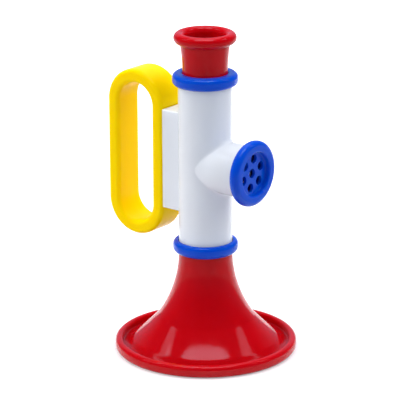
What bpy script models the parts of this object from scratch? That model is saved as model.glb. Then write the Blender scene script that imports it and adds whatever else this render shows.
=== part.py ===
"""Toy trumpet that stands on its bell, as separate pieces at their real size.

Metres, +Z up. The blowing tube stands upright on the empty "trumpet". The side valve points along +X and
the carrying handle along -X. The world origin is the middle of the footprint, on the floor.
"""

import math

import bmesh
import bpy
from mathutils import Vector

# Gap left between pieces that seat on each other
CLEARANCE = 0.0003

# White T-shaped tube
TUBE_RADIUS = 0.0150
TUBE_WALL = 0.0020
TUBE_LENGTH = 0.0981

# Red bell, from the floor up to the shoulder that carries the tube
BELL_HEIGHT = 0.0595
BELL_WALL = 0.0021
BELL_NECK_RADIUS = 0.0145
BELL_FLARE_RADIUS = 0.0151
BELL_RIM_RADIUS = 0.05125
BELL_LIP_WIDTH = 0.0043
BELL_LIP_HEIGHT = 0.0068
BELL_LIP_ROUND = 0.0025
BELL_CREST_ROUND = 0.0015
BELL_FOOT_ROUND = 0.0026
BELL_GUTTER_WIDTH = 0.0025
BELL_GUTTER_FLOOR = 0.00285
BELL_GUTTER_ROUND = 0.0012
BELL_CONE_SLOPE = math.radians(46.2)
BELL_CONE_TOP_RADIUS = 0.0278
BELL_CONE_PULL = 0.0032
BELL_NECK_PULL = 0.0205
BELL_SPIGOT_LENGTH = 0.0120
BELL_SPIGOT_WALL = 0.0016

# Blue collar rings at both ends of the tube
RING_RADIUS = 0.01827
RING_HEIGHT = 0.0070
RING_GRIP = 0.0044
RING_ROUND = 0.0029

# Red mouthpiece
MOUTH_HEIGHT = 0.02267
MOUTH_RIM_RADIUS = 0.01755
MOUTH_RIM_SECTION = 0.00315
MOUTH_NECK_RADIUS = 0.0126
MOUTH_COLLAR_RADIUS = 0.0139
MOUTH_THROAT_RADIUS = 0.0094
MOUTH_FLANGE_RADIUS = 0.0146
MOUTH_FLANGE_THICKNESS = 0.0010
MOUTH_SHANK_LENGTH = 0.0180
MOUTH_SHANK_WALL = 0.0021

# Beating reed held in the mouthpiece's shank
REED_FLANGE_THICKNESS = 0.0030
REED_TUBE_RADIUS = 0.0046
REED_TUBE_WALL = 0.0012
REED_TUBE_LENGTH = 0.0190
REED_SLOT_WIDTH = 0.0034
REED_SLOT_LENGTH = 0.0140
REED_WIDTH = 0.0050
REED_THICKNESS = 0.00035
REED_ROOT_GAP = 0.0002
REED_TIP_LIFT = 0.0009
REED_OVERLAP = 0.0010
WEDGE_THICKNESS = 0.0012
WEDGE_HEAD = 0.0010

# Yellow carrying handle and the white bracket behind it
HANDLE_RISE = 0.0008
HANDLE_HEIGHT = 0.0959
HANDLE_WIDTH = 0.0391
STRAP_THICKNESS = 0.0076
STRAP_WIDTH = 0.0194
STRAP_ROUND = 0.0024
BRACKET_REACH = 0.02297
BRACKET_HEIGHT = 0.0570
BRACKET_ROUND = 0.0008
BRACKET_WALL = 0.0020
BRACKET_POCKET_DEPTH = 0.0075
SCREW_SPACING = 0.0380
SCREW_RADIUS = 0.0015
SCREW_TIP_RADIUS = 0.0006
SCREW_BITE = 0.0070
SCREW_HEAD_RADIUS = 0.0030
SCREW_HEAD_HEIGHT = 0.0020
SCREW_RECESS_WIDTH = 0.0009
SCREW_RECESS_LENGTH = 0.0036
SCREW_RECESS_DEPTH = 0.0011
BOSS_WALL = 0.0018

# Side branch of the tube; its distances run out from the tube's axis
BRANCH_RISE = 0.04845
BRANCH_RADIUS = 0.0145
BRANCH_WALL = 0.0015
BRANCH_LENGTH = 0.0280
BRANCH_LIP_HEIGHT = 0.0006
BRANCH_LIP_THICKNESS = 0.0015
BRANCH_SHOULDER_WIDTH = 0.0018
BRANCH_SHOULDER_WALL = 0.0022

# Blue push button with its vent holes, and the valve that it carries
BUTTON_TRAVEL = 0.0030
BUTTON_RADIUS = 0.01847
BUTTON_THICKNESS = 0.0062
BUTTON_ROUND = 0.0030
BUTTON_RECESS_DEPTH = 0.0020
BUTTON_DISH_RADIUS = 0.0122
BUTTON_DISH_DEPTH = 0.0031
BUTTON_DISH_ROUND = 0.0016
BUTTON_FLOOR = 0.0018
BUTTON_SKIRT_WALL = 0.0012
BUTTON_BEAD_THICKNESS = 0.0016
VENT_RADIUS = 0.0025
VENT_CIRCLE_RADIUS = 0.00815
VENT_COUNT = 6
VENT_TURN = math.radians(11.0)
PORT_RADIUS = 0.0050
PORT_PLATE_THICKNESS = 0.0016
PORT_SEAT_WIDTH = 0.0014
PORT_SEAT_HEIGHT = 0.0008
SPRING_RADIUS = 0.0095
SPRING_WIRE = 0.0009
SPRING_LENGTH = 0.0084
SPRING_TURNS = 4.5
CARRIER_WEB = 0.0016
CARRIER_SLEEVE_WALL = 0.0008
CARRIER_POST_RADIUS = 0.0030
CARRIER_VENT_RADIUS = 0.0021
CARRIER_VENT_CIRCLE_RADIUS = 0.0060
PAD_RADIUS = 0.0068
PAD_THICKNESS = 0.0018
PAD_STUD_RADIUS = 0.0012
PAD_STUD_LENGTH = 0.0020

# How finely round shapes are cut
TURN_STEPS = 40
BELL_STEPS = 48
INNER_STEPS = 24
SMALL_STEPS = 16
ARC_STEP = math.radians(30)
FLARE_STEPS = 8
HANDLE_ARC_STEPS = 12
SPRING_CURL_POINTS = 9
SHARP_ANGLE = math.radians(35)
OVERCUT = 0.0010
# Most of an edge that the arcs at its two ends may take up
EDGE_USE = 0.98

# Heights up the tube
TUBE_BOTTOM = BELL_HEIGHT + CLEARANCE
TUBE_TOP = TUBE_BOTTOM + TUBE_LENGTH
LOWER_RING_TOP = TUBE_BOTTOM + RING_GRIP
LOWER_RING_BOTTOM = LOWER_RING_TOP - RING_HEIGHT
UPPER_RING_BOTTOM = TUBE_TOP - RING_GRIP
UPPER_RING_TOP = UPPER_RING_BOTTOM + RING_HEIGHT
BRANCH_Z = TUBE_BOTTOM + BRANCH_RISE
FLANGE_BOTTOM = TUBE_TOP + CLEARANCE
FLANGE_TOP = FLANGE_BOTTOM + MOUTH_FLANGE_THICKNESS
SHANK_BOTTOM = FLANGE_BOTTOM - MOUTH_SHANK_LENGTH
MOUTH_TOP = UPPER_RING_TOP + MOUTH_HEIGHT
REED_FLANGE_BOTTOM = SHANK_BOTTOM + CLEARANCE
REED_FLANGE_TOP = REED_FLANGE_BOTTOM + REED_FLANGE_THICKNESS

# Radii that follow from a fit
TUBE_BORE = TUBE_RADIUS - TUBE_WALL
SPIGOT_RADIUS = TUBE_BORE - CLEARANCE
SHANK_BORE = SPIGOT_RADIUS - MOUTH_SHANK_WALL
BRANCH_BORE = BRANCH_RADIUS - BRANCH_WALL
LIP_BORE = BRANCH_BORE - BRANCH_LIP_HEIGHT
SKIRT_RADIUS = LIP_BORE - CLEARANCE
SKIRT_BORE = SKIRT_RADIUS - BUTTON_SKIRT_WALL
CARRIER_RADIUS = SKIRT_BORE - CLEARANCE

# Distances out along the branch
SHOULDER = TUBE_BORE + BRANCH_SHOULDER_WALL
PLATE_BACK = SHOULDER + CLEARANCE
PLATE_FRONT = PLATE_BACK + PORT_PLATE_THICKNESS
SEAT_FRONT = PLATE_FRONT + PORT_SEAT_HEIGHT
PAD_FACE = SEAT_FRONT + BUTTON_TRAVEL + CLEARANCE
PAD_BACK = PAD_FACE + PAD_THICKNESS
SPRING_BACK = PLATE_FRONT + CLEARANCE
CARRIER_BACK = SPRING_BACK + SPRING_LENGTH + CLEARANCE
RECESS_FLOOR = BRANCH_LENGTH + BUTTON_TRAVEL + CLEARANCE
BUTTON_BACK = RECESS_FLOOR - BUTTON_RECESS_DEPTH
BUTTON_FRONT = BUTTON_BACK + BUTTON_THICKNESS
DISH_FLOOR = BUTTON_FRONT - BUTTON_DISH_DEPTH
FLOOR_BACK = DISH_FLOOR - BUTTON_FLOOR
BEAD_FRONT = BRANCH_LENGTH - BRANCH_LIP_THICKNESS - CLEARANCE
BEAD_BACK = BEAD_FRONT - BUTTON_BEAD_THICKNESS

# Middle of the handle, a little above the branch, and distances out along it from the tube's axis
HANDLE_Z = BRANCH_Z + HANDLE_RISE
STRAP_FACE = BRACKET_REACH + CLEARANCE
HANDLE_REACH = STRAP_FACE + HANDLE_WIDTH
COUNTERBORE_DEPTH = SCREW_HEAD_HEIGHT + 2 * CLEARANCE

# The tube's axis stands off the middle of the footprint, which runs from the handle to the bell's rim
AXIS_X = (HANDLE_REACH - BELL_RIM_RADIUS) / 2


def colour(code):
    """Linear colour of a hex colour code."""
    channels = [int(code[i : i + 2], 16) / 255 for i in (1, 3, 5)]
    return [c / 12.92 if c <= 0.04045 else ((c + 0.055) / 1.055) ** 2.4 for c in channels] + [1.0]


def finish(name, code, roughness, metallic=0.0):
    material = bpy.data.materials.new(name)
    material.use_nodes = True
    shader = material.node_tree.nodes["Principled BSDF"]
    shader.inputs["Base Color"].default_value = colour(code)
    shader.inputs["Roughness"].default_value = roughness
    shader.inputs["Metallic"].default_value = metallic
    material.diffuse_color = colour(code)
    return material


def empty(name, parent, location=(0, 0, 0), rotation=(0, 0, 0)):
    holder = bpy.data.objects.new(name, None)
    bpy.context.collection.objects.link(holder)
    holder.parent = parent
    holder.location = location
    holder.rotation_euler = rotation
    holder.empty_display_size = TUBE_RADIUS
    return holder


def placed(name, data, material, parent, location=(0, 0, 0), rotation=(0, 0, 0)):
    """Object made of a mesh or a curve, under its parent."""
    made = bpy.data.objects.new(name, data)
    bpy.context.collection.objects.link(made)
    made.parent = parent
    made.location = location
    made.rotation_euler = rotation
    data.materials.append(material)
    return made


def piece(name, bm, material, parent, location=(0, 0, 0), rotation=(0, 0, 0)):
    """Object made of a bmesh, shaded smooth between its sharp edges."""
    bmesh.ops.recalc_face_normals(bm, faces=bm.faces)
    mesh = bpy.data.meshes.new(name)
    bm.to_mesh(mesh)
    bm.free()
    mesh.shade_smooth()
    mesh.set_sharp_from_angle(angle=SHARP_ANGLE)
    return placed(name, mesh, material, parent, location, rotation)


def combine(target, operation, name, bm, location=(0, 0, 0), rotation=(0, 0, 0)):
    """Joins a hidden shape to the target, or cuts it away, in the target's own frame."""
    helper = piece(name, bm, target.data.materials[0], target, location, rotation)
    helper.hide_render = True
    helper.display_type = "WIRE"
    modifier = target.modifiers.new(name, "BOOLEAN")
    modifier.operation = operation
    modifier.solver = "EXACT"
    modifier.object = helper


def outline(*corners):
    """Closed outline through corners (x, y) or (x, y, rounding), with an arc at each rounded corner.

    Two rounded corners share the edge between them in the ratio of their roundings.
    """
    points = []
    for i, (x, y, *rounding) in enumerate(corners):
        here = Vector((x, y))
        if not rounding:
            points.append(here)
            continue
        room = []
        sides = []
        for near_x, near_y, *near_rounding in (corners[i - 1], corners[(i + 1) % len(corners)]):
            side = Vector((near_x, near_y)) - here
            share = rounding[0] / (rounding[0] + sum(near_rounding))
            room.append(EDGE_USE * share * side.length)
            sides.append(side.normalized())
        back, ahead = sides
        half = back.angle(ahead) / 2
        reach = min(rounding[0] / math.tan(half), *room)
        centre = here + (back + ahead).normalized() * reach / math.cos(half)
        start = here + back * reach - centre
        end = here + ahead * reach - centre
        first = math.atan2(start.y, start.x)
        sweep = (math.atan2(end.y, end.x) - first + math.pi) % math.tau - math.pi
        steps = max(2, math.ceil(abs(sweep) / ARC_STEP))
        for k in range(steps + 1):
            angle = first + sweep * k / steps
            points.append(centre + start.length * Vector((math.cos(angle), math.sin(angle))))
    return points


def rounded_rectangle(half_x, half_y, rounding):
    """Outline of a rectangle round the origin."""
    signs = ((-1, -1), (1, -1), (1, 1), (-1, 1))
    return outline(*[(x * half_x, y * half_y, rounding) for x, y in signs])


def turned(points, steps):
    """Closed outline of (radius, height) points, turned round Z. Its ends may lie on the axis."""
    bm = bmesh.new()
    verts = [bm.verts.new((x, 0, y)) for x, y in points if x > 0]
    edges = [bm.edges.new(pair) for pair in zip(verts, verts[1:])]
    if len(verts) == len(points):
        edges.append(bm.edges.new((verts[-1], verts[0])))
    turn = {"cent": (0, 0, 0), "axis": (0, 0, 1), "angle": math.tau}
    bmesh.ops.spin(bm, geom=verts + edges, steps=steps, use_merge=True, **turn)
    bmesh.ops.holes_fill(bm, edges=[edge for edge in bm.edges if edge.is_boundary])
    return bm


def rod(radius, bottom, top, steps):
    return turned([(0, top), (radius, top), (radius, bottom), (0, bottom)], steps)


def prism(points, bottom, top):
    """Outline of (x, y) points, extruded from bottom to top."""
    bm = bmesh.new()
    face = bm.faces.new([bm.verts.new((x, y, bottom)) for x, y in points])
    wall = bmesh.ops.extrude_face_region(bm, geom=[face])
    raised = [item for item in wall["geom"] if isinstance(item, bmesh.types.BMVert)]
    bmesh.ops.translate(bm, verts=raised, vec=(0, 0, top - bottom))
    return bm


def block(low, high):
    (x0, y0, z0), (x1, y1, z1) = low, high
    return prism([(x0, y0), (x1, y0), (x1, y1), (x0, y1)], z0, z1)


def bezier(start, pull_start, pull_end, end, steps):
    """Points of a cubic curve, both ends included."""
    points = []
    for k in range(steps + 1):
        t = k / steps
        s = 1 - t
        points.append(s**3 * start + 3 * s * s * t * pull_start + 3 * s * t * t * pull_end + t**3 * end)
    return points


def flare_points():
    """Outer line of the bell, from under the ring down its curve and its straight cone to the gutter."""
    foot = Vector((BELL_RIM_RADIUS - BELL_LIP_WIDTH - BELL_GUTTER_WIDTH, BELL_GUTTER_FLOOR))
    upwards = Vector((-math.sin(BELL_CONE_SLOPE), math.cos(BELL_CONE_SLOPE)))
    cone_top = foot + upwards * (foot.x - BELL_CONE_TOP_RADIUS) / math.sin(BELL_CONE_SLOPE)
    neck = Vector((BELL_FLARE_RADIUS, LOWER_RING_BOTTOM - CLEARANCE))
    neck_pull = neck - Vector((0, BELL_NECK_PULL))
    return bezier(neck, neck_pull, cone_top + upwards * BELL_CONE_PULL, cone_top, FLARE_STEPS) + [foot]


def inside_points(points, wall):
    """A line one wall further in, ended where it meets the floor."""
    inner = []
    for i, point in enumerate(points):
        along = points[min(i + 1, len(points) - 1)] - points[max(i - 1, 0)]
        inner.append(point - Vector((-along.y, along.x)).normalized() * wall)
    last, before = inner[-1], inner[-2]
    to_floor = before.y / (before.y - last.y)
    return inner[:-1] + [before + (last - before) * to_floor]


def make_bell(parent, red):
    """Flared bell with an upturned rounded lip, a shoulder for the ring and a spigot for the tube."""
    flare = flare_points()
    inside = inside_points(flare, BELL_WALL)
    lip_inner = BELL_RIM_RADIUS - BELL_LIP_WIDTH
    spigot_top = TUBE_BOTTOM + BELL_SPIGOT_LENGTH
    spigot_bore = SPIGOT_RADIUS - BELL_SPIGOT_WALL
    bore_step = BELL_FLARE_RADIUS - BELL_WALL - spigot_bore
    corners = [
        (spigot_bore, spigot_top),
        (SPIGOT_RADIUS, spigot_top),
        (SPIGOT_RADIUS, BELL_HEIGHT),
        (BELL_NECK_RADIUS, BELL_HEIGHT),
        (BELL_NECK_RADIUS, LOWER_RING_BOTTOM - CLEARANCE),
        *[(p.x, p.y) for p in flare],
        (lip_inner, BELL_GUTTER_FLOOR, BELL_GUTTER_ROUND),
        (lip_inner, BELL_LIP_HEIGHT, BELL_CREST_ROUND),
        (BELL_RIM_RADIUS, BELL_LIP_HEIGHT, BELL_LIP_ROUND),
        (BELL_RIM_RADIUS, 0, BELL_FOOT_ROUND),
        *[(p.x, p.y) for p in reversed(inside)],
        (spigot_bore, inside[0].y + bore_step),
    ]
    piece("bell", turned(outline(*corners), BELL_STEPS), red, parent)


def make_lower_ring(parent, blue):
    """Collar over the joint of tube and bell, on the bell's shoulder and under the tube's end."""
    corners = [
        (BELL_NECK_RADIUS + CLEARANCE, LOWER_RING_BOTTOM),
        (BELL_NECK_RADIUS + CLEARANCE, BELL_HEIGHT),
        (TUBE_RADIUS + CLEARANCE, BELL_HEIGHT),
        (TUBE_RADIUS + CLEARANCE, LOWER_RING_TOP),
        (RING_RADIUS, LOWER_RING_TOP, RING_ROUND),
        (RING_RADIUS, LOWER_RING_BOTTOM, RING_ROUND),
    ]
    piece("lower_ring", turned(outline(*corners), TURN_STEPS), blue, parent)


def make_upper_ring(parent, blue):
    """Collar that traps the mouthpiece's flange on the tube's end."""
    corners = [
        (TUBE_RADIUS + CLEARANCE, UPPER_RING_BOTTOM),
        (TUBE_RADIUS + CLEARANCE, FLANGE_TOP + CLEARANCE),
        (MOUTH_NECK_RADIUS + CLEARANCE, FLANGE_TOP + CLEARANCE),
        (MOUTH_NECK_RADIUS + CLEARANCE, UPPER_RING_TOP),
        (RING_RADIUS, UPPER_RING_TOP, RING_ROUND),
        (RING_RADIUS, UPPER_RING_BOTTOM, RING_ROUND),
    ]
    piece("upper_ring", turned(outline(*corners), TURN_STEPS), blue, parent)


def make_body_tube(parent, white):
    """T-shaped tube with a bracket for the handle, cored out round two screw bosses."""
    body = piece("body_tube", rod(TUBE_RADIUS, TUBE_BOTTOM, TUBE_TOP, TURN_STEPS), white, parent)
    out_along_x = (0, math.pi / 2, 0)
    out_along_minus_x = (0, -math.pi / 2, 0)
    at_branch = (0, 0, BRANCH_Z)
    at_handle = (0, 0, HANDLE_Z)
    half_width = STRAP_WIDTH / 2
    half_height = BRACKET_HEIGHT / 2
    face = rounded_rectangle(half_height, half_width, BRACKET_ROUND)
    bracket = prism(face, TUBE_BORE / 2, BRACKET_REACH)
    combine(body, "UNION", "bracket_shape", bracket, at_handle, out_along_minus_x)
    branch = rod(BRANCH_RADIUS, TUBE_BORE / 2, BRANCH_LENGTH, TURN_STEPS)
    combine(body, "UNION", "branch_shape", branch, at_branch, out_along_x)

    pocket_x = half_height - BRACKET_WALL
    pocket_y = half_width - BRACKET_WALL
    pocket_floor = BRACKET_REACH - BRACKET_POCKET_DEPTH
    pocket = block((-pocket_x, -pocket_y, pocket_floor), (pocket_x, pocket_y, BRACKET_REACH + OVERCUT))
    combine(body, "DIFFERENCE", "bracket_pocket", pocket, at_handle, out_along_minus_x)
    for side, label in ((1, "upper"), (-1, "lower")):
        at_screw = (0, 0, HANDLE_Z + side * SCREW_SPACING / 2)
        boss = rod(screw_hole() + BOSS_WALL, pocket_floor - OVERCUT, BRACKET_REACH, SMALL_STEPS)
        combine(body, "UNION", label + "_boss", boss, at_screw, out_along_minus_x)
        pilot = rod(screw_hole(), screw_tip() - CLEARANCE, BRACKET_REACH + OVERCUT, SMALL_STEPS)
        combine(body, "DIFFERENCE", label + "_pilot", pilot, at_screw, out_along_minus_x)

    bore = rod(TUBE_BORE, TUBE_BOTTOM - OVERCUT, TUBE_TOP + OVERCUT, TURN_STEPS)
    combine(body, "DIFFERENCE", "tube_bore", bore)
    air_way = BRANCH_BORE - BRANCH_SHOULDER_WIDTH
    lip_back = BRANCH_LENGTH - BRANCH_LIP_THICKNESS
    branch_bore = [
        (0, 0),
        (air_way, 0),
        (air_way, SHOULDER),
        (BRANCH_BORE, SHOULDER),
        (BRANCH_BORE, lip_back),
        (LIP_BORE, lip_back),
        (LIP_BORE, BRANCH_LENGTH + OVERCUT),
        (0, BRANCH_LENGTH + OVERCUT),
    ]
    combine(body, "DIFFERENCE", "branch_bore", turned(branch_bore, TURN_STEPS), at_branch, out_along_x)


def make_mouthpiece(parent, red):
    """Round lip rim on a flared neck, with a shank that holds the reed inside the tube."""
    rim_middle = MOUTH_RIM_RADIUS - MOUTH_RIM_SECTION
    rim_z = MOUTH_TOP - MOUTH_RIM_SECTION
    rim_inner = rim_middle - MOUTH_RIM_SECTION
    seat_z = REED_FLANGE_TOP + CLEARANCE
    neck_foot = UPPER_RING_TOP + CLEARANCE
    under_rim = rim_z - math.sqrt(MOUTH_RIM_SECTION**2 - (MOUTH_COLLAR_RADIUS - rim_middle) ** 2)
    neck = Vector((MOUTH_NECK_RADIUS, neck_foot))
    collar = Vector((MOUTH_COLLAR_RADIUS, under_rim))
    half_rise = Vector((0, (under_rim - neck_foot) / 2))
    neck_line = bezier(neck, neck + half_rise, collar - half_rise / 2, collar, FLARE_STEPS // 2)
    first = math.atan2(under_rim - rim_z, MOUTH_COLLAR_RADIUS - rim_middle) % math.tau - math.tau
    steps = math.ceil((math.pi - first) / ARC_STEP)
    rim = []
    for k in range(1, steps + 1):
        angle = first + (math.pi - first) * k / steps
        out = MOUTH_RIM_SECTION * math.cos(angle)
        up = MOUTH_RIM_SECTION * math.sin(angle)
        rim.append((rim_middle + out, rim_z + up))
    corners = [
        (SHANK_BORE, SHANK_BOTTOM),
        (SPIGOT_RADIUS, SHANK_BOTTOM),
        (SPIGOT_RADIUS, FLANGE_BOTTOM),
        (MOUTH_FLANGE_RADIUS, FLANGE_BOTTOM),
        (MOUTH_FLANGE_RADIUS, FLANGE_TOP),
        (MOUTH_NECK_RADIUS, FLANGE_TOP),
        *[(p.x, p.y) for p in neck_line],
        *rim,
        (rim_inner, rim_z - MOUTH_RIM_SECTION),
        (MOUTH_THROAT_RADIUS, seat_z),
        (SHANK_BORE, seat_z),
    ]
    piece("mouthpiece", turned(outline(*corners), TURN_STEPS), red, parent)


def half_disc(radius, flat_x):
    """The part of a disc on the -X side of a flat."""
    first = math.acos(max(-1.0, min(1.0, flat_x / radius)))
    steps = SMALL_STEPS // 2
    turn = (math.tau - 2 * first) / steps
    angles = [first + turn * k for k in range(steps + 1)]
    return [(radius * math.cos(angle), radius * math.sin(angle)) for angle in angles]


def make_reed(parent, hinge, white, brass):
    """Half-round reed tube on a flange, the brass tongue that beats on its flat, and the tongue's wedge."""
    flange = rod(SHANK_BORE - CLEARANCE, REED_FLANGE_BOTTOM, REED_FLANGE_TOP, INNER_STEPS)
    holder = piece("reed_holder", flange, white, parent)
    tube_top = REED_FLANGE_TOP + REED_TUBE_LENGTH
    middle = REED_FLANGE_TOP - REED_FLANGE_THICKNESS / 2
    combine(holder, "UNION", "reed_tube", prism(half_disc(REED_TUBE_RADIUS, 0), middle, tube_top))
    bore = half_disc(REED_TUBE_RADIUS - REED_TUBE_WALL, -REED_TUBE_WALL)
    below = REED_FLANGE_BOTTOM - OVERCUT
    combine(holder, "DIFFERENCE", "reed_tube_bore", prism(bore, below, tube_top - REED_TUBE_WALL))
    slot_y = REED_SLOT_WIDTH / 2
    slot_top = tube_top - REED_TUBE_WALL - REED_OVERLAP
    slot = block((-2 * REED_TUBE_WALL, -slot_y, slot_top - REED_SLOT_LENGTH), (OVERCUT, slot_y, slot_top))
    combine(holder, "DIFFERENCE", "reed_slot", slot)
    clamp_x = REED_ROOT_GAP + REED_THICKNESS + WEDGE_THICKNESS + 2 * CLEARANCE
    clamp_y = REED_WIDTH / 2 + CLEARANCE
    clamp = block((0, -clamp_y, below), (clamp_x, clamp_y, REED_FLANGE_TOP + OVERCUT))
    combine(holder, "DIFFERENCE", "reed_clamp", clamp)

    root = REED_FLANGE_THICKNESS - CLEARANCE
    blade = REED_TUBE_LENGTH - REED_OVERLAP
    shares = [k / FLARE_STEPS for k in range(FLARE_STEPS + 1)]
    face = [(0, -root)] + [(REED_TIP_LIFT * share**2, blade * share) for share in shares]
    back = [(x + REED_THICKNESS, z) for x, z in reversed(face)]
    half = REED_WIDTH / 2
    piece("reed_tongue", prism(face + back, -half, half), brass, hinge, rotation=(math.pi / 2, 0, 0))

    wedge_x = REED_ROOT_GAP + REED_THICKNESS + CLEARANCE
    wedge = block(
        (wedge_x, -half, REED_FLANGE_BOTTOM + CLEARANCE),
        (wedge_x + WEDGE_THICKNESS, half, REED_FLANGE_TOP + WEDGE_HEAD),
    )
    piece("reed_wedge", wedge, white, parent)


def screw_hole():
    return SCREW_RADIUS + CLEARANCE


def screw_tip():
    """Where the screw ends, out from the tube's axis."""
    return BRACKET_REACH - SCREW_BITE


def make_handle(parent, yellow):
    """Strap bent into a long loop with round ends, drilled for its two screws on the side of the tube."""
    bend_radius = (HANDLE_WIDTH - STRAP_THICKNESS) / 2
    straight = (HANDLE_HEIGHT - HANDLE_WIDTH) / 2
    section = rounded_rectangle(STRAP_THICKNESS / 2, STRAP_WIDTH / 2, STRAP_ROUND)
    bm = bmesh.new()
    rings = []
    for end in (1, -1):
        for k in range(HANDLE_ARC_STEPS + 1):
            angle = math.pi * k / HANDLE_ARC_STEPS + (0 if end > 0 else math.pi)
            outward = Vector((math.cos(angle), 0, math.sin(angle)))
            middle = outward * bend_radius + Vector((0, 0, end * straight))
            rings.append([bm.verts.new(middle + outward * s + Vector((0, w, 0))) for s, w in section])
    for i, ring in enumerate(rings):
        before = rings[i - 1]
        for k in range(len(ring)):
            bm.faces.new((before[k - 1], before[k], ring[k], ring[k - 1]))
    centre_x = -(STRAP_FACE + HANDLE_WIDTH / 2)
    handle = piece("handle", bm, yellow, parent, (centre_x, 0, HANDLE_Z))

    inner_face = HANDLE_WIDTH / 2 - STRAP_THICKNESS
    head_hole = SCREW_HEAD_RADIUS + CLEARANCE
    for side, label in ((1, "upper"), (-1, "lower")):
        drill = [
            (0, inner_face - OVERCUT),
            (head_hole, inner_face - OVERCUT),
            (head_hole, inner_face + COUNTERBORE_DEPTH),
            (screw_hole(), inner_face + COUNTERBORE_DEPTH),
            (screw_hole(), HANDLE_WIDTH / 2 + OVERCUT),
            (0, HANDLE_WIDTH / 2 + OVERCUT),
        ]
        hole = turned(drill, SMALL_STEPS)
        at_screw = (0, 0, side * SCREW_SPACING / 2)
        combine(handle, "DIFFERENCE", label + "_screw_hole", hole, at_screw, (0, math.pi / 2, 0))


def make_handle_screw(parent, label, side, steel):
    """Pan-head screw from inside the loop through the strap into the bracket's boss."""
    head_seat = STRAP_FACE + STRAP_THICKNESS - COUNTERBORE_DEPTH + CLEARANCE
    head_top = head_seat + SCREW_HEAD_HEIGHT
    corners = [
        (0, head_top),
        (SCREW_HEAD_RADIUS, head_top, SCREW_HEAD_HEIGHT / 2),
        (SCREW_HEAD_RADIUS, head_seat),
        (SCREW_RADIUS, head_seat),
        (SCREW_RADIUS, screw_tip() + SCREW_RADIUS),
        (SCREW_TIP_RADIUS, screw_tip()),
        (0, screw_tip()),
    ]
    at_screw = (0, 0, HANDLE_Z + side * SCREW_SPACING / 2)
    screw = turned(outline(*corners), SMALL_STEPS)
    made = piece("handle_screw_" + label, screw, steel, parent, at_screw, (0, -math.pi / 2, 0))
    near = SCREW_RECESS_WIDTH / 2
    far = SCREW_RECESS_LENGTH / 2
    quarter = [(near, near), (near, far), (-near, far), (-near, near), (-far, near), (-far, -near)]
    cross = quarter + [(-x, -y) for x, y in quarter]
    recess = prism(cross, head_top - SCREW_RECESS_DEPTH, head_top + OVERCUT)
    combine(made, "DIFFERENCE", label + "_recess", recess)


def vent_places(circle_radius, first_angle):
    """Places of the holes on a circle round the branch's axis."""
    places = []
    for k in range(VENT_COUNT):
        angle = first_angle + math.tau * k / VENT_COUNT
        places.append((circle_radius * math.cos(angle), circle_radius * math.sin(angle), 0))
    return places


def make_side_button(slide, blue):
    """Round push button with a dished, perforated face and a skirt that snaps behind the branch's lip.

    A ring-shaped recess in its back goes over the branch's end when it is pressed.
    """
    bead_radius = BRANCH_BORE - CLEARANCE
    recess_radius = BRANCH_RADIUS + CLEARANCE
    corners = [
        (0, DISH_FLOOR),
        (BUTTON_DISH_RADIUS, DISH_FLOOR, BUTTON_DISH_ROUND),
        (BUTTON_DISH_RADIUS, BUTTON_FRONT, BUTTON_DISH_ROUND),
        (BUTTON_RADIUS, BUTTON_FRONT, BUTTON_ROUND),
        (BUTTON_RADIUS, BUTTON_BACK, BUTTON_ROUND),
        (recess_radius, BUTTON_BACK),
        (recess_radius, RECESS_FLOOR),
        (SKIRT_RADIUS, RECESS_FLOOR),
        (SKIRT_RADIUS, BEAD_FRONT),
        (bead_radius, BEAD_FRONT),
        (bead_radius, BEAD_BACK + BRANCH_LIP_HEIGHT),
        (SKIRT_RADIUS, BEAD_BACK),
        (SKIRT_BORE, BEAD_BACK),
        (SKIRT_BORE, FLOOR_BACK),
        (0, FLOOR_BACK),
    ]
    button = piece("side_button", turned(outline(*corners), TURN_STEPS), blue, slide)
    # On the branch, up is -X, so the first hole of the circle starts from there.
    places = [(0, 0, 0)] + vent_places(VENT_CIRCLE_RADIUS, math.pi - VENT_TURN)
    for i, place in enumerate(places):
        hole = rod(VENT_RADIUS, FLOOR_BACK - OVERCUT, DISH_FLOOR + OVERCUT, SMALL_STEPS)
        combine(button, "DIFFERENCE", f"vent_{i}", hole, place)


def make_valve_carrier(slide, blue):
    """Sleeve pressed into the button's skirt, whose pierced web seats the spring and carries the pad."""
    post_end = PAD_BACK + CLEARANCE
    stud_hole = PAD_STUD_RADIUS + CLEARANCE
    web_front = CARRIER_BACK + CARRIER_WEB
    sleeve_front = FLOOR_BACK - CLEARANCE
    sleeve_bore = CARRIER_RADIUS - CARRIER_SLEEVE_WALL
    stud_end = PAD_BACK + PAD_STUD_LENGTH + CLEARANCE
    corners = [
        (0, web_front),
        (sleeve_bore, web_front),
        (sleeve_bore, sleeve_front),
        (CARRIER_RADIUS, sleeve_front),
        (CARRIER_RADIUS, CARRIER_BACK),
        (CARRIER_POST_RADIUS, CARRIER_BACK),
        (CARRIER_POST_RADIUS, post_end),
        (stud_hole, post_end),
        (stud_hole, stud_end),
        (0, stud_end),
    ]
    carrier = piece("valve_carrier", turned(outline(*corners), INNER_STEPS), blue, slide)
    for i, place in enumerate(vent_places(CARRIER_VENT_CIRCLE_RADIUS, 0)):
        hole = rod(CARRIER_VENT_RADIUS, CARRIER_BACK - OVERCUT, web_front + OVERCUT, SMALL_STEPS)
        combine(carrier, "DIFFERENCE", f"carrier_vent_{i}", hole, place)


def make_valve_pad(slide, rubber):
    """Soft disc that closes the port, with a stud pressed into the carrier's post."""
    stud_end = PAD_BACK + PAD_STUD_LENGTH
    corners = [
        (0, stud_end),
        (PAD_STUD_RADIUS, stud_end),
        (PAD_STUD_RADIUS, PAD_BACK),
        (PAD_RADIUS, PAD_BACK),
        (PAD_RADIUS, PAD_FACE),
        (0, PAD_FACE),
    ]
    piece("valve_pad", turned(outline(*corners), INNER_STEPS), rubber, slide)


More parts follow.
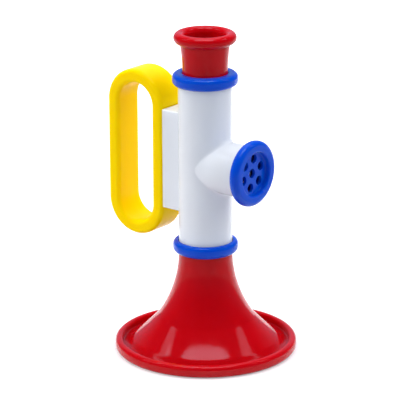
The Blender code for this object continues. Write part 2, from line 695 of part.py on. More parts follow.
def make_port_plate(branch, white):
    """Plate across the branch with the port in its middle and a raised seat round it."""
    plate_radius = BRANCH_BORE - CLEARANCE
    corners = [
        (PORT_RADIUS, SEAT_FRONT),
        (PORT_RADIUS + PORT_SEAT_WIDTH, SEAT_FRONT),
        (PORT_RADIUS + PORT_SEAT_WIDTH, PLATE_FRONT),
        (plate_radius, PLATE_FRONT),
        (plate_radius, PLATE_BACK),
        (PORT_RADIUS, PLATE_BACK),
    ]
    piece("port_plate", turned(outline(*corners), INNER_STEPS), white, branch)


def spring_points():
    """Middle line of the spring's wire, one unbroken helix."""
    wire = SPRING_WIRE / 2
    rise = SPRING_LENGTH - SPRING_WIRE
    count = round(SPRING_TURNS * SPRING_CURL_POINTS)
    points = []
    for k in range(count + 1):
        angle = math.tau * SPRING_TURNS * k / count
        height = SPRING_BACK + wire + rise * k / count
        points.append(Vector((SPRING_RADIUS * math.cos(angle), SPRING_RADIUS * math.sin(angle), height)))
    return points


def least_gap(points):
    """Least gap between stretches of the wire that are half a curl or more apart."""
    apart = SPRING_CURL_POINTS // 2
    gaps = [(a - b).length for i, a in enumerate(points) for b in points[i + apart :]]
    return min(gaps) - SPRING_WIRE


def make_button_spring(branch, steel):
    """Compression spring between the port plate and the carrier."""
    points = spring_points()
    print(f"button_spring: least gap to itself {least_gap(points) * 1000:.2f} mm")
    curve = bpy.data.curves.new("button_spring", "CURVE")
    curve.dimensions = "3D"
    curve.bevel_depth = SPRING_WIRE / 2
    curve.bevel_resolution = 1
    curve.use_fill_caps = True
    spline = curve.splines.new("POLY")
    spline.points.add(len(points) - 1)
    for target, point in zip(spline.points, points):
        target.co = (*point, 1)
    placed("button_spring", curve, steel, branch)


def make_trumpet():
    red = finish("red_plastic", "#CE0F1E", 0.22)
    blue = finish("blue_plastic", "#1446D2", 0.22)
    white = finish("white_plastic", "#ECEEF2", 0.25)
    yellow = finish("yellow_plastic", "#FFDE00", 0.22)
    rubber = finish("black_rubber", "#2B2B2D", 0.7)
    steel = finish("zinc_steel", "#B9BDC2", 0.3, 1.0)
    brass = finish("brass", "#C9A24C", 0.3, 1.0)

    trumpet = empty("trumpet", None, (AXIS_X, 0, 0))
    branch = empty("branch_axis", trumpet, (0, 0, BRANCH_Z), (0, math.pi / 2, 0))
    slide = empty("button_slide", branch)
    hinge = empty("reed_hinge", trumpet, (REED_ROOT_GAP, 0, REED_FLANGE_TOP))

    make_bell(trumpet, red)
    make_lower_ring(trumpet, blue)
    make_body_tube(trumpet, white)
    make_upper_ring(trumpet, blue)
    make_mouthpiece(trumpet, red)
    make_reed(trumpet, hinge, white, brass)
    make_handle(trumpet, yellow)
    make_handle_screw(trumpet, "upper", 1, steel)
    make_handle_screw(trumpet, "lower", -1, steel)
    make_port_plate(branch, white)
    make_button_spring(branch, steel)
    make_side_button(slide, blue)
    make_valve_carrier(slide, blue)
    make_valve_pad(slide, rubber)


for old in list(bpy.data.objects):
    bpy.data.objects.remove(old)
make_trumpet()
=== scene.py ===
"""Looks of the toy trumpet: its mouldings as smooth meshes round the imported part, and their finishes.

Metres, in the part's own frame: +Z up the tube, +X out to the button, -X out to the handle.
"""

import math

import bmesh
import bpy
from mathutils import Matrix, Quaternion, Vector


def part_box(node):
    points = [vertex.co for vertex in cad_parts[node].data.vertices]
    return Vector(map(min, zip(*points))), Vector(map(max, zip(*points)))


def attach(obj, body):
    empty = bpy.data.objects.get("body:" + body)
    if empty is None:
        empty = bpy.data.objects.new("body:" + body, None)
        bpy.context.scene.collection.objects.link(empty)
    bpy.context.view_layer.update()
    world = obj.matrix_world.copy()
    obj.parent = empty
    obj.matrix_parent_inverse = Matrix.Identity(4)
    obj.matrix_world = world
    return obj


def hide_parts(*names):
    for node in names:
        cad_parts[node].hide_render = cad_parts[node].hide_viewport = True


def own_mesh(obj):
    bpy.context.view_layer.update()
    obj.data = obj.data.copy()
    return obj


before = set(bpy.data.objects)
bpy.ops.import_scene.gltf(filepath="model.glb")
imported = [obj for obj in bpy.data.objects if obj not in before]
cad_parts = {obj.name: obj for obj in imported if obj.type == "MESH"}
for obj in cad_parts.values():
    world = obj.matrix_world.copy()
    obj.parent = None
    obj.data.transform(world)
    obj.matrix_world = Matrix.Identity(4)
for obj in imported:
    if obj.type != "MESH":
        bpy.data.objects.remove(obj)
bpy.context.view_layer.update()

# Bell: one flared shell of red ABS, injection moulded. A gutter runs round the foot of its cone, inside
# the upturned round lip that the toy stands on. The lower ring sits on its shoulder, and its spigot goes
# up into the tube.
bell_low, bell_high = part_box("bell")
tube_low, tube_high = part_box("body_tube")
lower_ring_low, lower_ring_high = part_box("lower_ring")
AXIS = Vector(((bell_low.x + bell_high.x) / 2, 0, 0))
FIT = 0.0003
BELL_RIM_RADIUS = (bell_high.x - bell_low.x) / 2
BELL_SHOULDER = tube_low.z - FIT
BELL_WALL = 0.0021
BELL_NECK_RADIUS = 0.0145
BELL_FLARE_RADIUS = 0.0151
BELL_LIP_WIDTH = 0.0043
BELL_LIP_HEIGHT = 0.0068
BELL_LIP_ROUND = 0.0025
BELL_CREST_ROUND = 0.0015
BELL_FOOT_ROUND = 0.0026
BELL_GUTTER_FLOOR = 0.0030
BELL_GUTTER_ROUND = 0.0008
BELL_CONE_SLOPE = math.radians(46.2)
BELL_CONE_TOP = Vector((0.0278, 0.01882))
BELL_CONE_END = 0.0398
BELL_CONE_HOLLOW = math.radians(3.5)
BELL_CONE_PULL = 0.0032
BELL_NECK_PULL = 0.0205
BELL_GUTTER_PULL = 0.0034
SPIGOT_RADIUS = 0.0127
SPIGOT_WALL = 0.0016
EDGE_ROUND = 0.0003
SAME_PLACE = 1e-6
SHARP_EDGE = math.radians(32)
ARC_STEP = math.radians(9)
CURVE_STEPS = 28
CONE_STEPS = 12
BELL_STEPS = 192
# Marks of moulded ABS: how far apart they lie in millimetres, then how they are drawn.
FLOW_STREAK = 14
HANDLING_PATCH = 9
SCUFF_SPACING = 0.9
PEEL_WAVE = 1.6
FLOW_STRETCH = (1, 1, 0.35)
HANDLING_RANGE = (0.35, 0.75)
HANDLING_DULLNESS = 0.07
SCUFF_SLANT = (0.6, 0.4, 0.9)
SCUFF_STRETCH = (1, 0.05, 1)
SCUFF_RANGE = (0.74, 0.80)
PEEL_STRENGTH = 0.06
PEEL_HEIGHT = 0.0004
ABS_IOR = 1.5
ABS_GLOW = 0.6


def rounded(*corners):
    """Closed line through corners (x, y) or (x, y, radius), with an arc where there is a radius."""
    points = []
    for i, (x, y, *radius) in enumerate(corners):
        here = Vector((x, y))
        if not radius:
            points.append(here)
            continue
        back = (Vector(corners[i - 1][:2]) - here).normalized()
        ahead = (Vector(corners[(i + 1) % len(corners)][:2]) - here).normalized()
        half = back.angle(ahead) / 2
        centre = here + (back + ahead).normalized() * radius[0] / math.sin(half)
        start = here + back * radius[0] / math.tan(half) - centre
        end = here + ahead * radius[0] / math.tan(half) - centre
        first = math.atan2(start.y, start.x)
        sweep = (math.atan2(end.y, end.x) - first + math.pi) % math.tau - math.pi
        steps = max(3, math.ceil(abs(sweep) / ARC_STEP))
        for k in range(steps + 1):
            angle = first + sweep * k / steps
            points.append(centre + radius[0] * Vector((math.cos(angle), math.sin(angle))))
    return [point for i, point in enumerate(points) if (point - points[i - 1]).length > SAME_PLACE]


def bezier(start, pull_start, pull_end, end, steps=CURVE_STEPS):
    """Points of a cubic curve, both ends included."""
    points = []
    for k in range(steps + 1):
        t = k / steps
        s = 1 - t
        points.append(s**3 * start + 3 * s * s * t * pull_start + 3 * s * t * t * pull_end + t**3 * end)
    return points


def inside(points, wall):
    """The line one wall further in than a line that runs down and out."""
    inner = []
    for i, point in enumerate(points):
        along = points[min(i + 1, len(points) - 1)] - points[max(i - 1, 0)]
        inner.append(point - Vector((-along.y, along.x)).normalized() * wall)
    return inner


def skin(bm, rows, wrap=False, closed=True):
    """Quads between neighbouring rows of vertices; wrap joins the last row to the first.

    The rows are closed loops, or lines with two ends.
    """
    for i in range(0 if wrap else 1, len(rows)):
        before, row = rows[i - 1], rows[i]
        for k in range(0 if closed else 1, len(row)):
            bm.faces.new((before[k - 1], before[k], row[k], row[k - 1]))


def turned_rows(bm, points, steps):
    """A line of (radius, height) points as vertices, at each step of one turn round Z."""
    rows = []
    for k in range(steps):
        turn = Matrix.Rotation(math.tau * k / steps, 3, "Z")
        rows.append([bm.verts.new(turn @ Vector((p.x, 0, p.y))) for p in points])
    return rows


def turned(points, steps):
    """Closed line of (radius, height) points, turned once round Z."""
    bm = bmesh.new()
    skin(bm, turned_rows(bm, points, steps), wrap=True)
    return bm


def solid(name, bm, material, place):
    """Object of a closed mesh, moved to its place in the frame, smooth between its sharp edges."""
    bm.transform(place)
    bmesh.ops.recalc_face_normals(bm, faces=bm.faces)
    mesh = bpy.data.meshes.new(name)
    bm.to_mesh(mesh)
    bm.free()
    mesh.shade_smooth()
    mesh.set_sharp_from_angle(angle=SHARP_EDGE)
    mesh.materials.append(material)
    made = bpy.data.objects.new(name, mesh)
    bpy.context.collection.objects.link(made)
    made.modifiers.new("even_shading", "WEIGHTED_NORMAL").keep_sharp = True
    return made


def linear(code):
    """Linear colour of an sRGB hex code."""
    channels = [int(code[i : i + 2], 16) / 255 for i in (1, 3, 5)]
    return [c / 12.92 if c <= 0.04045 else ((c + 0.055) / 1.055) ** 2.4 for c in channels] + [1.0]


def per(millimetres):
    """Scale of a pattern whose features lie that far apart."""
    return 1000 / millimetres


def add_node(material, kind, inputs, **settings):
    """Adds a node; an input is a value, or an output of another node to link to."""
    made = material.node_tree.nodes.new("ShaderNode" + kind)
    for name, value in settings.items():
        setattr(made, name, value)
    for socket, value in inputs.items():
        if isinstance(value, bpy.types.NodeSocket):
            material.node_tree.links.new(value, made.inputs[socket])
        else:
            made.inputs[socket].default_value = value
    return made


def moulded_abs(name, pigment, streak, polish, scuffs, gloss, glow_depth):
    """Injection-moulded ABS: a glossy skin that copies the polished steel mould.

    The eye sees sharp but slightly wavering reflections from the faint orange peel of the skin, pigment
    that streaks a little along the flow, dull patches from handling and a few hairline scuffs. Light sinks
    a few millimetres into it, which softens its shadows; glow_depth is how far, in metres, for red, green
    and blue. polish is the roughness of clean skin, scuffs is what a hairline adds, and gloss is how much
    the skin mirrors.
    """
    material = bpy.data.materials.new(name)
    material.use_nodes = True
    shader = material.node_tree.nodes["Principled BSDF"]
    shader.inputs["IOR"].default_value = ABS_IOR
    shader.inputs["Specular IOR Level"].default_value = gloss
    shader.inputs["Subsurface Weight"].default_value = ABS_GLOW
    shader.inputs["Subsurface Scale"].default_value = 1.0
    shader.inputs["Subsurface Radius"].default_value = glow_depth
    place = add_node(material, "TexCoord", {}).outputs["Object"]
    flow = add_node(material, "Mapping", {"Vector": place, "Scale": FLOW_STRETCH}).outputs["Vector"]
    streaks = add_node(material, "TexNoise", {"Vector": flow, "Scale": per(FLOW_STREAK), "Detail": 3.0})
    tint = add_node(
        material,
        "MixRGB",
        {"Fac": streaks.outputs["Fac"], "Color1": linear(pigment), "Color2": linear(streak)},
    )
    patches = {"Vector": place, "Scale": per(HANDLING_PATCH), "Detail": 4.0}
    handling = add_node(material, "TexNoise", patches)
    dulling = add_node(
        material,
        "MapRange",
        {
            "Value": handling.outputs["Fac"],
            "From Min": HANDLING_RANGE[0],
            "From Max": HANDLING_RANGE[1],
            "To Min": polish,
            "To Max": polish + HANDLING_DULLNESS,
        },
    )
    # Hairline scuffs: real ones are about 0.02 mm wide, drawn here 0.15 mm wide so that they show.
    slant = {"Vector": place, "Rotation": SCUFF_SLANT, "Scale": SCUFF_STRETCH}
    hairs = add_node(material, "Mapping", slant).outputs["Vector"]
    strands = add_node(material, "TexNoise", {"Vector": hairs, "Scale": per(SCUFF_SPACING), "Detail": 1.0})
    scuffed = add_node(
        material,
        "MapRange",
        {
            "Value": strands.outputs["Fac"],
            "From Min": SCUFF_RANGE[0],
            "From Max": SCUFF_RANGE[1],
            "To Max": scuffs,
        },
    )
    roughness = add_node(
        material, "Math", {0: dulling.outputs["Result"], 1: scuffed.outputs["Result"]}, operation="ADD"
    )
    # Orange peel of the skin: real waves are about a thousandth of a millimetre high, drawn here higher so
    # that they show.
    peel = add_node(material, "TexNoise", {"Vector": place, "Scale": per(PEEL_WAVE), "Detail": 2.0})
    height = add_node(
        material, "Math", {0: peel.outputs["Fac"], 1: scuffed.outputs["Result"]}, operation="SUBTRACT"
    )
    relief = {"Height": height.outputs["Value"], "Strength": PEEL_STRENGTH, "Distance": PEEL_HEIGHT}
    bump = add_node(material, "Bump", relief)
    links = material.node_tree.links
    links.new(tint.outputs["Color"], shader.inputs["Base Color"])
    links.new(roughness.outputs["Value"], shader.inputs["Roughness"])
    links.new(bump.outputs["Normal"], shader.inputs["Normal"])
    return material


red_abs = moulded_abs("red_moulded_abs", "#BE0410", "#B6020C", 0.07, 0.22, 0.18, (0.006, 0.0003, 0.0004))

lip_inner = BELL_RIM_RADIUS - BELL_LIP_WIDTH
upwards = Vector((-math.sin(BELL_CONE_SLOPE), math.cos(BELL_CONE_SLOPE)))
steep, shallow = [
    Vector((-math.sin(angle), math.cos(angle)))
    for angle in (BELL_CONE_SLOPE - BELL_CONE_HOLLOW, BELL_CONE_SLOPE + BELL_CONE_HOLLOW)
]
neck = Vector((BELL_FLARE_RADIUS, lower_ring_low.z - FIT))
cone_end = BELL_CONE_TOP - upwards * (BELL_CONE_END - BELL_CONE_TOP.x) / math.sin(BELL_CONE_SLOPE)
gutter = Vector((lip_inner - BELL_GUTTER_ROUND, BELL_GUTTER_FLOOR))
cone_pull = (cone_end - BELL_CONE_TOP).length / 3
flare = bezier(
    neck, neck - Vector((0, BELL_NECK_PULL)), BELL_CONE_TOP + steep * BELL_CONE_PULL, BELL_CONE_TOP
)
cone = bezier(
    BELL_CONE_TOP, BELL_CONE_TOP - steep * cone_pull, cone_end + shallow * cone_pull, cone_end, CONE_STEPS
)
foot = bezier(
    cone_end, cone_end - shallow * BELL_GUTTER_PULL, gutter - Vector((BELL_GUTTER_PULL, 0)), gutter
)
inner_flare = inside(flare + [cone_end], BELL_WALL)
inner_foot = inner_flare[-1] - upwards * inner_flare[-1].y / math.cos(BELL_CONE_SLOPE)
spigot_bore = SPIGOT_RADIUS - SPIGOT_WALL
bore_step = BELL_FLARE_RADIUS - BELL_WALL - spigot_bore
bell_line = rounded(
    (spigot_bore, bell_high.z, EDGE_ROUND),
    (SPIGOT_RADIUS, bell_high.z, EDGE_ROUND),
    (SPIGOT_RADIUS, BELL_SHOULDER),
    (BELL_NECK_RADIUS, BELL_SHOULDER),
    (BELL_NECK_RADIUS, neck.y),
    *flare[:-1],
    *cone[:-1],
    *foot,
    (lip_inner, BELL_GUTTER_FLOOR, BELL_GUTTER_ROUND),
    (lip_inner, BELL_LIP_HEIGHT, BELL_CREST_ROUND),
    (BELL_RIM_RADIUS, BELL_LIP_HEIGHT, BELL_LIP_ROUND),
    (BELL_RIM_RADIUS, 0, BELL_FOOT_ROUND),
    (inner_foot.x, 0, EDGE_ROUND),
    *reversed(inner_flare),
    (spigot_bore, inner_flare[0].y + bore_step),
)
bell = solid("bell_moulding", turned(bell_line, BELL_STEPS), red_abs, Matrix.Translation(AXIS))
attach(bell, "body")
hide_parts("bell")

# Collar rings: two rings of royal blue ABS, moulded with a full round outside. The lower one covers the
# joint of bell and tube, and the upper one traps the mouthpiece's flange on the tube's end.
upper_ring_low, upper_ring_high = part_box("upper_ring")
RING_RADIUS = (upper_ring_high.x - upper_ring_low.x) / 2
TUBE_RADIUS = (tube_high.y - tube_low.y) / 2
RING_ROUND = 0.0029
MOUTH_NECK_RADIUS = 0.0126
MOUTH_FLANGE = 0.0010
RING_STEPS = 128

blue_abs = moulded_abs("blue_moulded_abs", "#0450CE", "#024AC4", 0.08, 0.2, 0.20, (0.0003, 0.0006, 0.002))

flange_top = tube_high.z + FIT + MOUTH_FLANGE
ring_lines = {
    "lower_ring": rounded(
        (BELL_NECK_RADIUS + FIT, lower_ring_low.z, EDGE_ROUND),
        (BELL_NECK_RADIUS + FIT, BELL_SHOULDER),
        (TUBE_RADIUS + FIT, BELL_SHOULDER),
        (TUBE_RADIUS + FIT, lower_ring_high.z, EDGE_ROUND),
        (RING_RADIUS, lower_ring_high.z, RING_ROUND - EDGE_ROUND),
        (RING_RADIUS, lower_ring_low.z, RING_ROUND),
    ),
    "upper_ring": rounded(
        (TUBE_RADIUS + FIT, upper_ring_low.z, EDGE_ROUND),
        (TUBE_RADIUS + FIT, flange_top + FIT),
        (MOUTH_NECK_RADIUS + FIT, flange_top + FIT),
        (MOUTH_NECK_RADIUS + FIT, upper_ring_high.z, EDGE_ROUND),
        (RING_RADIUS, upper_ring_high.z, RING_ROUND),
        (RING_RADIUS, upper_ring_low.z, RING_ROUND - EDGE_ROUND),
    ),
}
for node, line in ring_lines.items():
    ring = solid(node + "_moulding", turned(line, RING_STEPS), blue_abs, Matrix.Translation(AXIS))
    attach(ring, "body")
    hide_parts(node)

# Body tube: one T-shaped moulding of cool white ABS. The side branch runs into the tube with a small
# fillet, and a block on the other side carries the handle. Core pins leave the bores and the lip in the
# branch.
button_low, button_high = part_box("side_button")
handle_low, handle_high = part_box("handle")
BRANCH_Z = (button_low.z + button_high.z) / 2
TUBE_BORE = 0.0130
BRANCH_RADIUS = 0.0145
BRANCH_BORE = 0.0130
BRANCH_AIR_WAY = 0.0112
BRANCH_SHOULDER = 0.0152
BRANCH_LIP_BORE = 0.0124
BRANCH_LIP = 0.0015
BRANCH_FILLET = 0.0024
BRACKET_RISE = (handle_low.z + handle_high.z) / 2 - BRANCH_Z
BRACKET_HEIGHT = 0.0570
BRACKET_CORNER = 0.0008
BRACKET_EDGE = 0.0005
BRACKET_FILLET = 0.0004
BRACKET_WALL = 0.0020
BRACKET_POCKET_DEPTH = 0.0075
BOSS_RADIUS = 0.0036
SCREW_HOLE = 0.0018
SCREW_HOLE_DEPTH = 0.0073
HOLE_POINTS = 40
PATCH_HALF_HEIGHT = 0.0330
PATCH_EDGE_POINTS = 32
PATCH_ROWS = 6
CORNER_POINTS = 4
FILLET_ROWS = 6
BRANCH_EDGE_ROWS = 3
BRACKET_EDGE_ROWS = 4
BAND_ROWS = 4
FOUR_SIDED_WALK = [(edge, k / PATCH_EDGE_POINTS) for edge in range(4) for k in range(PATCH_EDGE_POINTS)]

white_abs = moulded_abs("white_moulded_abs", "#EBEEF3", "#E7EAF0", 0.14, 0.18, 0.26, (0.006, 0.006, 0.006))


def round_outline(radius):
    """Point and outward direction on a circle, by edge number and share of a four-sided walk."""

    def at(edge, share):
        angle = math.radians(90 * (edge + share) - 45)
        out = Vector((math.cos(angle), math.sin(angle)))
        return out * radius, out

    return at


def block_outline(half_y, half_z, corner, rise):
    """The same for a raised rectangle with round corners; each edge takes half of both its corners."""
    signs = {0: (1, -1, 1), 1: (1, 1, -1), 2: (-1, 1, -1), 3: (-1, -1, 1)}

    def at(edge, share):
        step = share * PATCH_EDGE_POINTS
        from_end = step - (PATCH_EDGE_POINTS - CORNER_POINTS)
        lean = min(0, step / CORNER_POINTS - 1) + max(0, from_end / CORNER_POINTS)
        angle = math.radians(90 * edge + 45 * lean)
        out = Vector((math.cos(angle), math.sin(angle)))
        run = min(1, max(0, (step - CORNER_POINTS) / (PATCH_EDGE_POINTS - 2 * CORNER_POINTS)))
        y_sign, z_sign, way = signs[edge]
        along = way * (2 * run - 1)
        centre = (y_sign, along) if edge % 2 == 0 else (along, z_sign)
        inset = Vector((centre[0] * (half_y - corner), centre[1] * (half_z - corner) + rise))
        return inset + out * corner, out

    return at


def border(edge, share):
    """Corner-to-corner walk round a square from -1 to 1."""
    corners = [Vector((1, -1)), Vector((1, 1)), Vector((-1, 1)), Vector((-1, -1))]
    return corners[edge].lerp(corners[(edge + 1) % 4], share)


def cylinder_point(radius, theta, z, side):
    """Point and outward direction on a tube round Z; side is 1 towards the branch, -1 towards the block."""
    out = Vector((math.cos(theta), math.sin(theta), 0)) * side
    return out * radius + Vector((0, 0, z)), out


def branch_rows(radius, outline, fillet, side, steps):
    """Rows of (point, normal) from a half tube's border in to a hole, over a fillet and out along a branch.

    steps are the (distance, inset, lean) of the rows beyond the fillet: how far from the tube's axis, how
    far inside the outline, and how far the normal leans from square to the branch towards its end.
    """
    rows = [[] for _ in range(PATCH_ROWS + 1 + (FILLET_ROWS if fillet else 0) + len(steps))]
    for edge, share in FOUR_SIDED_WALK:
        point, out = outline(edge, share)
        ball = point + out * fillet
        ball_x = math.sqrt((radius + fillet) ** 2 - ball.x**2)
        square = border(edge, share)
        start = Vector((square.x * math.pi / 2, square.y * PATCH_HALF_HEIGHT))
        end = Vector((math.atan2(ball.x, ball_x), ball.y))
        column = []
        for k in range(PATCH_ROWS + 1):
            place = start.lerp(end, k / PATCH_ROWS)
            column.append(cylinder_point(radius, place.x, place.y, side))
        flip = Vector((side, side, 1))
        centre = Vector((ball_x, ball.x, ball.y))
        to_tube = -Vector((ball_x, ball.x, 0)).normalized()
        to_branch = -Vector((0, out.x, out.y))
        for k in range(1, FILLET_ROWS + 1) if fillet else ():
            way = to_tube.slerp(to_branch, k / FILLET_ROWS)
            column.append(((centre + way * fillet) * flip, -way * flip))
        for distance, inset, lean in steps:
            level = point - out * inset
            normal = Vector((math.sin(lean), out.x * math.cos(lean), out.y * math.cos(lean)))
            column.append((Vector((distance, level.x, level.y)) * flip, normal * flip))
        for row, item in zip(rows, column):
            row.append(item)
    return rows


def edge_steps(end, radius, count):
    """The rows of a rounded edge at the end of a branch."""
    leans = [math.pi / 2 * k / count for k in range(count + 1)]
    return [(end - radius * (1 - math.sin(a)), radius * (1 - math.cos(a)), a) for a in leans]


def level_row(outline, x, side):
    """Row of (point, direction) on an outline that lies square to X."""
    row = []
    for edge, share in FOUR_SIDED_WALK:
        point, out = outline(edge, share)
        row.append((Vector((x, side * point.x, point.y)), out))
    return row


def circle_row(radius, z):
    """Row of (point, direction) round the whole tube at one height."""
    count = 2 * PATCH_EDGE_POINTS
    return [cylinder_point(radius, math.tau * k / count, z, 1) for k in range(count)]


tube_mesh = bmesh.new()
skin_normal = tube_mesh.verts.layers.float_vector.new("skin_normal")


def verts_of(row, known=True, sign=1):
    """Vertices of a row; known keeps each normal for the shading."""
    made = []
    for point, normal in row:
        vert = tube_mesh.verts.new(point + Vector((0, 0, BRANCH_Z)))
        if known:
            vert[skin_normal] = normal * sign
        made.append(vert)
    return made


tube_top = tube_high.z - BRANCH_Z
tube_bottom = tube_low.z - BRANCH_Z
branch_end = tube_high.x - AXIS.x
bracket_end = AXIS.x - tube_low.x

branch_edge = edge_steps(branch_end, EDGE_ROUND, BRANCH_EDGE_ROWS)
branch_skin = branch_rows(TUBE_RADIUS, round_outline(BRANCH_RADIUS), BRANCH_FILLET, 1, branch_edge)
branch_loops = [verts_of(row) for row in branch_skin]
skin(tube_mesh, branch_loops)
bracket_half = Vector(((handle_high.y - handle_low.y) / 2, BRACKET_HEIGHT / 2))
bracket_outline = block_outline(bracket_half.x, bracket_half.y, BRACKET_CORNER, BRACKET_RISE)
bracket_edge = edge_steps(bracket_end, BRACKET_EDGE, BRACKET_EDGE_ROWS)
bracket_skin = branch_rows(TUBE_RADIUS, bracket_outline, BRACKET_FILLET, -1, bracket_edge)
bracket_loops = [verts_of(row) for row in bracket_skin]
skin(tube_mesh, bracket_loops)


def ring_of_verts(bm, x, radius, z):
    """Vertices round a hole or boss whose axis runs along X."""
    turns = [math.tau * k / HOLE_POINTS for k in range(HOLE_POINTS)]
    return [bm.verts.new((x, radius * math.cos(a), z + radius * math.sin(a))) for a in turns]


def loop_edges(bm, loop):
    """The edges round a closed loop of vertices, made where they don't exist yet."""
    return [bm.edges.get((a, b)) or bm.edges.new((a, b)) for a, b in zip(loop, loop[1:] + loop[:1])]


# Behind the handle the block is cored out round two bosses that take the screws.
pocket_half = bracket_half - Vector((BRACKET_WALL, BRACKET_WALL))
pocket_outline = block_outline(pocket_half.x, pocket_half.y, BRACKET_CORNER, BRACKET_RISE)
pocket_floor = BRACKET_POCKET_DEPTH - bracket_end
pocket_loops = [
    verts_of(level_row(pocket_outline, x, -1), known=False) for x in (-bracket_end, pocket_floor)
]
skin(tube_mesh, [bracket_loops[-1], *pocket_loops])
floor_edges = loop_edges(tube_mesh, pocket_loops[-1])
for node in ("handle_screw_upper", "handle_screw_lower"):
    low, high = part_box(node)
    level = (low.z + high.z) / 2
    boss = [
        ring_of_verts(tube_mesh, pocket_floor, BOSS_RADIUS, level),
        ring_of_verts(tube_mesh, -bracket_end, BOSS_RADIUS, level),
        ring_of_verts(tube_mesh, -bracket_end, SCREW_HOLE, level),
        ring_of_verts(tube_mesh, SCREW_HOLE_DEPTH - bracket_end, SCREW_HOLE, level),
    ]
    skin(tube_mesh, boss)
    tube_mesh.faces.new(boss[-1])
    floor_edges += loop_edges(tube_mesh, boss[0])
bmesh.ops.triangle_fill(tube_mesh, edges=floor_edges, use_beauty=True)

# The bore meets the branch's air way without a fillet; behind that lie its shoulder, its bore and its lip.
lip_back = branch_end - BRANCH_LIP
bore_skin = branch_rows(TUBE_BORE, round_outline(BRANCH_AIR_WAY), 0, 1, [])
bore_loops = [verts_of(row, sign=-1) for row in bore_skin]
stepped_bore = [
    (BRANCH_AIR_WAY, BRANCH_SHOULDER),
    (BRANCH_BORE, BRANCH_SHOULDER),
    (BRANCH_BORE, lip_back),
    (BRANCH_LIP_BORE, lip_back),
    (BRANCH_LIP_BORE, branch_end - EDGE_ROUND),
    (BRANCH_LIP_BORE + EDGE_ROUND, branch_end),
]
for radius, distance in stepped_bore:
    bore_loops.append(verts_of(level_row(round_outline(radius), distance, 1), known=False))
skin(tube_mesh, bore_loops)
skin(tube_mesh, [bore_loops[-1], branch_loops[-1]])
columns = []
for i in range(PATCH_EDGE_POINTS + 1):
    theta = math.pi / 2 - math.pi * i / PATCH_EDGE_POINTS
    heights = [PATCH_HALF_HEIGHT * (2 * k / PATCH_EDGE_POINTS - 1) for k in range(PATCH_EDGE_POINTS + 1)]
    columns.append(verts_of([cylinder_point(TUBE_BORE, theta, z, -1) for z in heights], sign=-1))
skin(tube_mesh, columns, closed=False)

for patch_end, tube_end in ((PATCH_HALF_HEIGHT, tube_top), (-PATCH_HALF_HEIGHT, tube_bottom)):
    levels = [patch_end + (tube_end - patch_end) * k / BAND_ROWS for k in range(BAND_ROWS + 1)]
    outer = [verts_of(circle_row(TUBE_RADIUS, z)) for z in levels]
    inner = [verts_of(circle_row(TUBE_BORE, z), sign=-1) for z in levels]
    skin(tube_mesh, outer)
    skin(tube_mesh, inner)
    skin(tube_mesh, [outer[-1], inner[-1]])
bmesh.ops.remove_doubles(tube_mesh, verts=tube_mesh.verts, dist=SAME_PLACE)
tube_normals = [vert[skin_normal].copy() for vert in tube_mesh.verts]
tube = solid("body_tube_moulding", tube_mesh, white_abs, Matrix.Translation(AXIS))
tube.modifiers.clear()
tube.data.normals_split_custom_set_from_vertices(tube_normals)
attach(tube, "body")
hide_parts("body_tube")

# Mouthpiece: red ABS from the same batch as the bell. A full round rim tops the flared neck; below the
# flange that the upper ring traps, a plain shank holds the reed inside the tube.
mouth_low, mouth_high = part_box("mouthpiece")
reed_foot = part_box("reed_holder")[0].z
MOUTH_RIM_RADIUS = (mouth_high.x - mouth_low.x) / 2
MOUTH_RIM_SECTION = 0.00315
MOUTH_COLLAR_RADIUS = 0.0138
MOUTH_COLLAR_DROP = 0.0006
MOUTH_COLLAR_PULL = 0.0003
MOUTH_COLLAR_TURN = math.radians(4)
MOUTH_NECK_LEAN = 0.12
MOUTH_CUP_ROUND = 0.0015
MOUTH_THROAT_RADIUS = 0.0094
MOUTH_FLANGE_RADIUS = 0.0146
REED_FLANGE = 0.0030
MOUTH_SEAT = reed_foot + REED_FLANGE + FIT
SHANK_BORE = 0.0106
COLLAR_STEPS = 10
MOUTH_STEPS = 128

rim_middle = MOUTH_RIM_RADIUS - MOUTH_RIM_SECTION
rim_z = mouth_high.z - MOUTH_RIM_SECTION
neck_foot = Vector((MOUTH_NECK_RADIUS, upper_ring_high.z + FIT))
rim_start = -math.pi / 2 + MOUTH_COLLAR_TURN
rim_centre = Vector((rim_middle, rim_z))
rim_foot = rim_centre + MOUTH_RIM_SECTION * Vector((math.cos(rim_start), math.sin(rim_start)))
into_rim = Vector((-math.sin(rim_start), math.cos(rim_start)))
collar = Vector((MOUTH_COLLAR_RADIUS, rim_foot.y - MOUTH_COLLAR_DROP))
half_rise = Vector((0, (collar.y - neck_foot.y) / 2))
up_collar = Vector((MOUTH_NECK_LEAN, 1)).normalized()
neck_line = bezier(neck_foot, neck_foot + half_rise, collar - up_collar * half_rise.y / 2, collar)
collar_line = bezier(
    collar,
    collar + up_collar * MOUTH_COLLAR_PULL,
    rim_foot - into_rim * MOUTH_COLLAR_PULL,
    rim_foot,
    COLLAR_STEPS,
)
rim_steps = math.ceil((math.pi - rim_start) / ARC_STEP)
rim_angles = [rim_start + (math.pi - rim_start) * k / rim_steps for k in range(1, rim_steps + 1)]
rim_line = [rim_centre + MOUTH_RIM_SECTION * Vector((math.cos(a), math.sin(a))) for a in rim_angles]
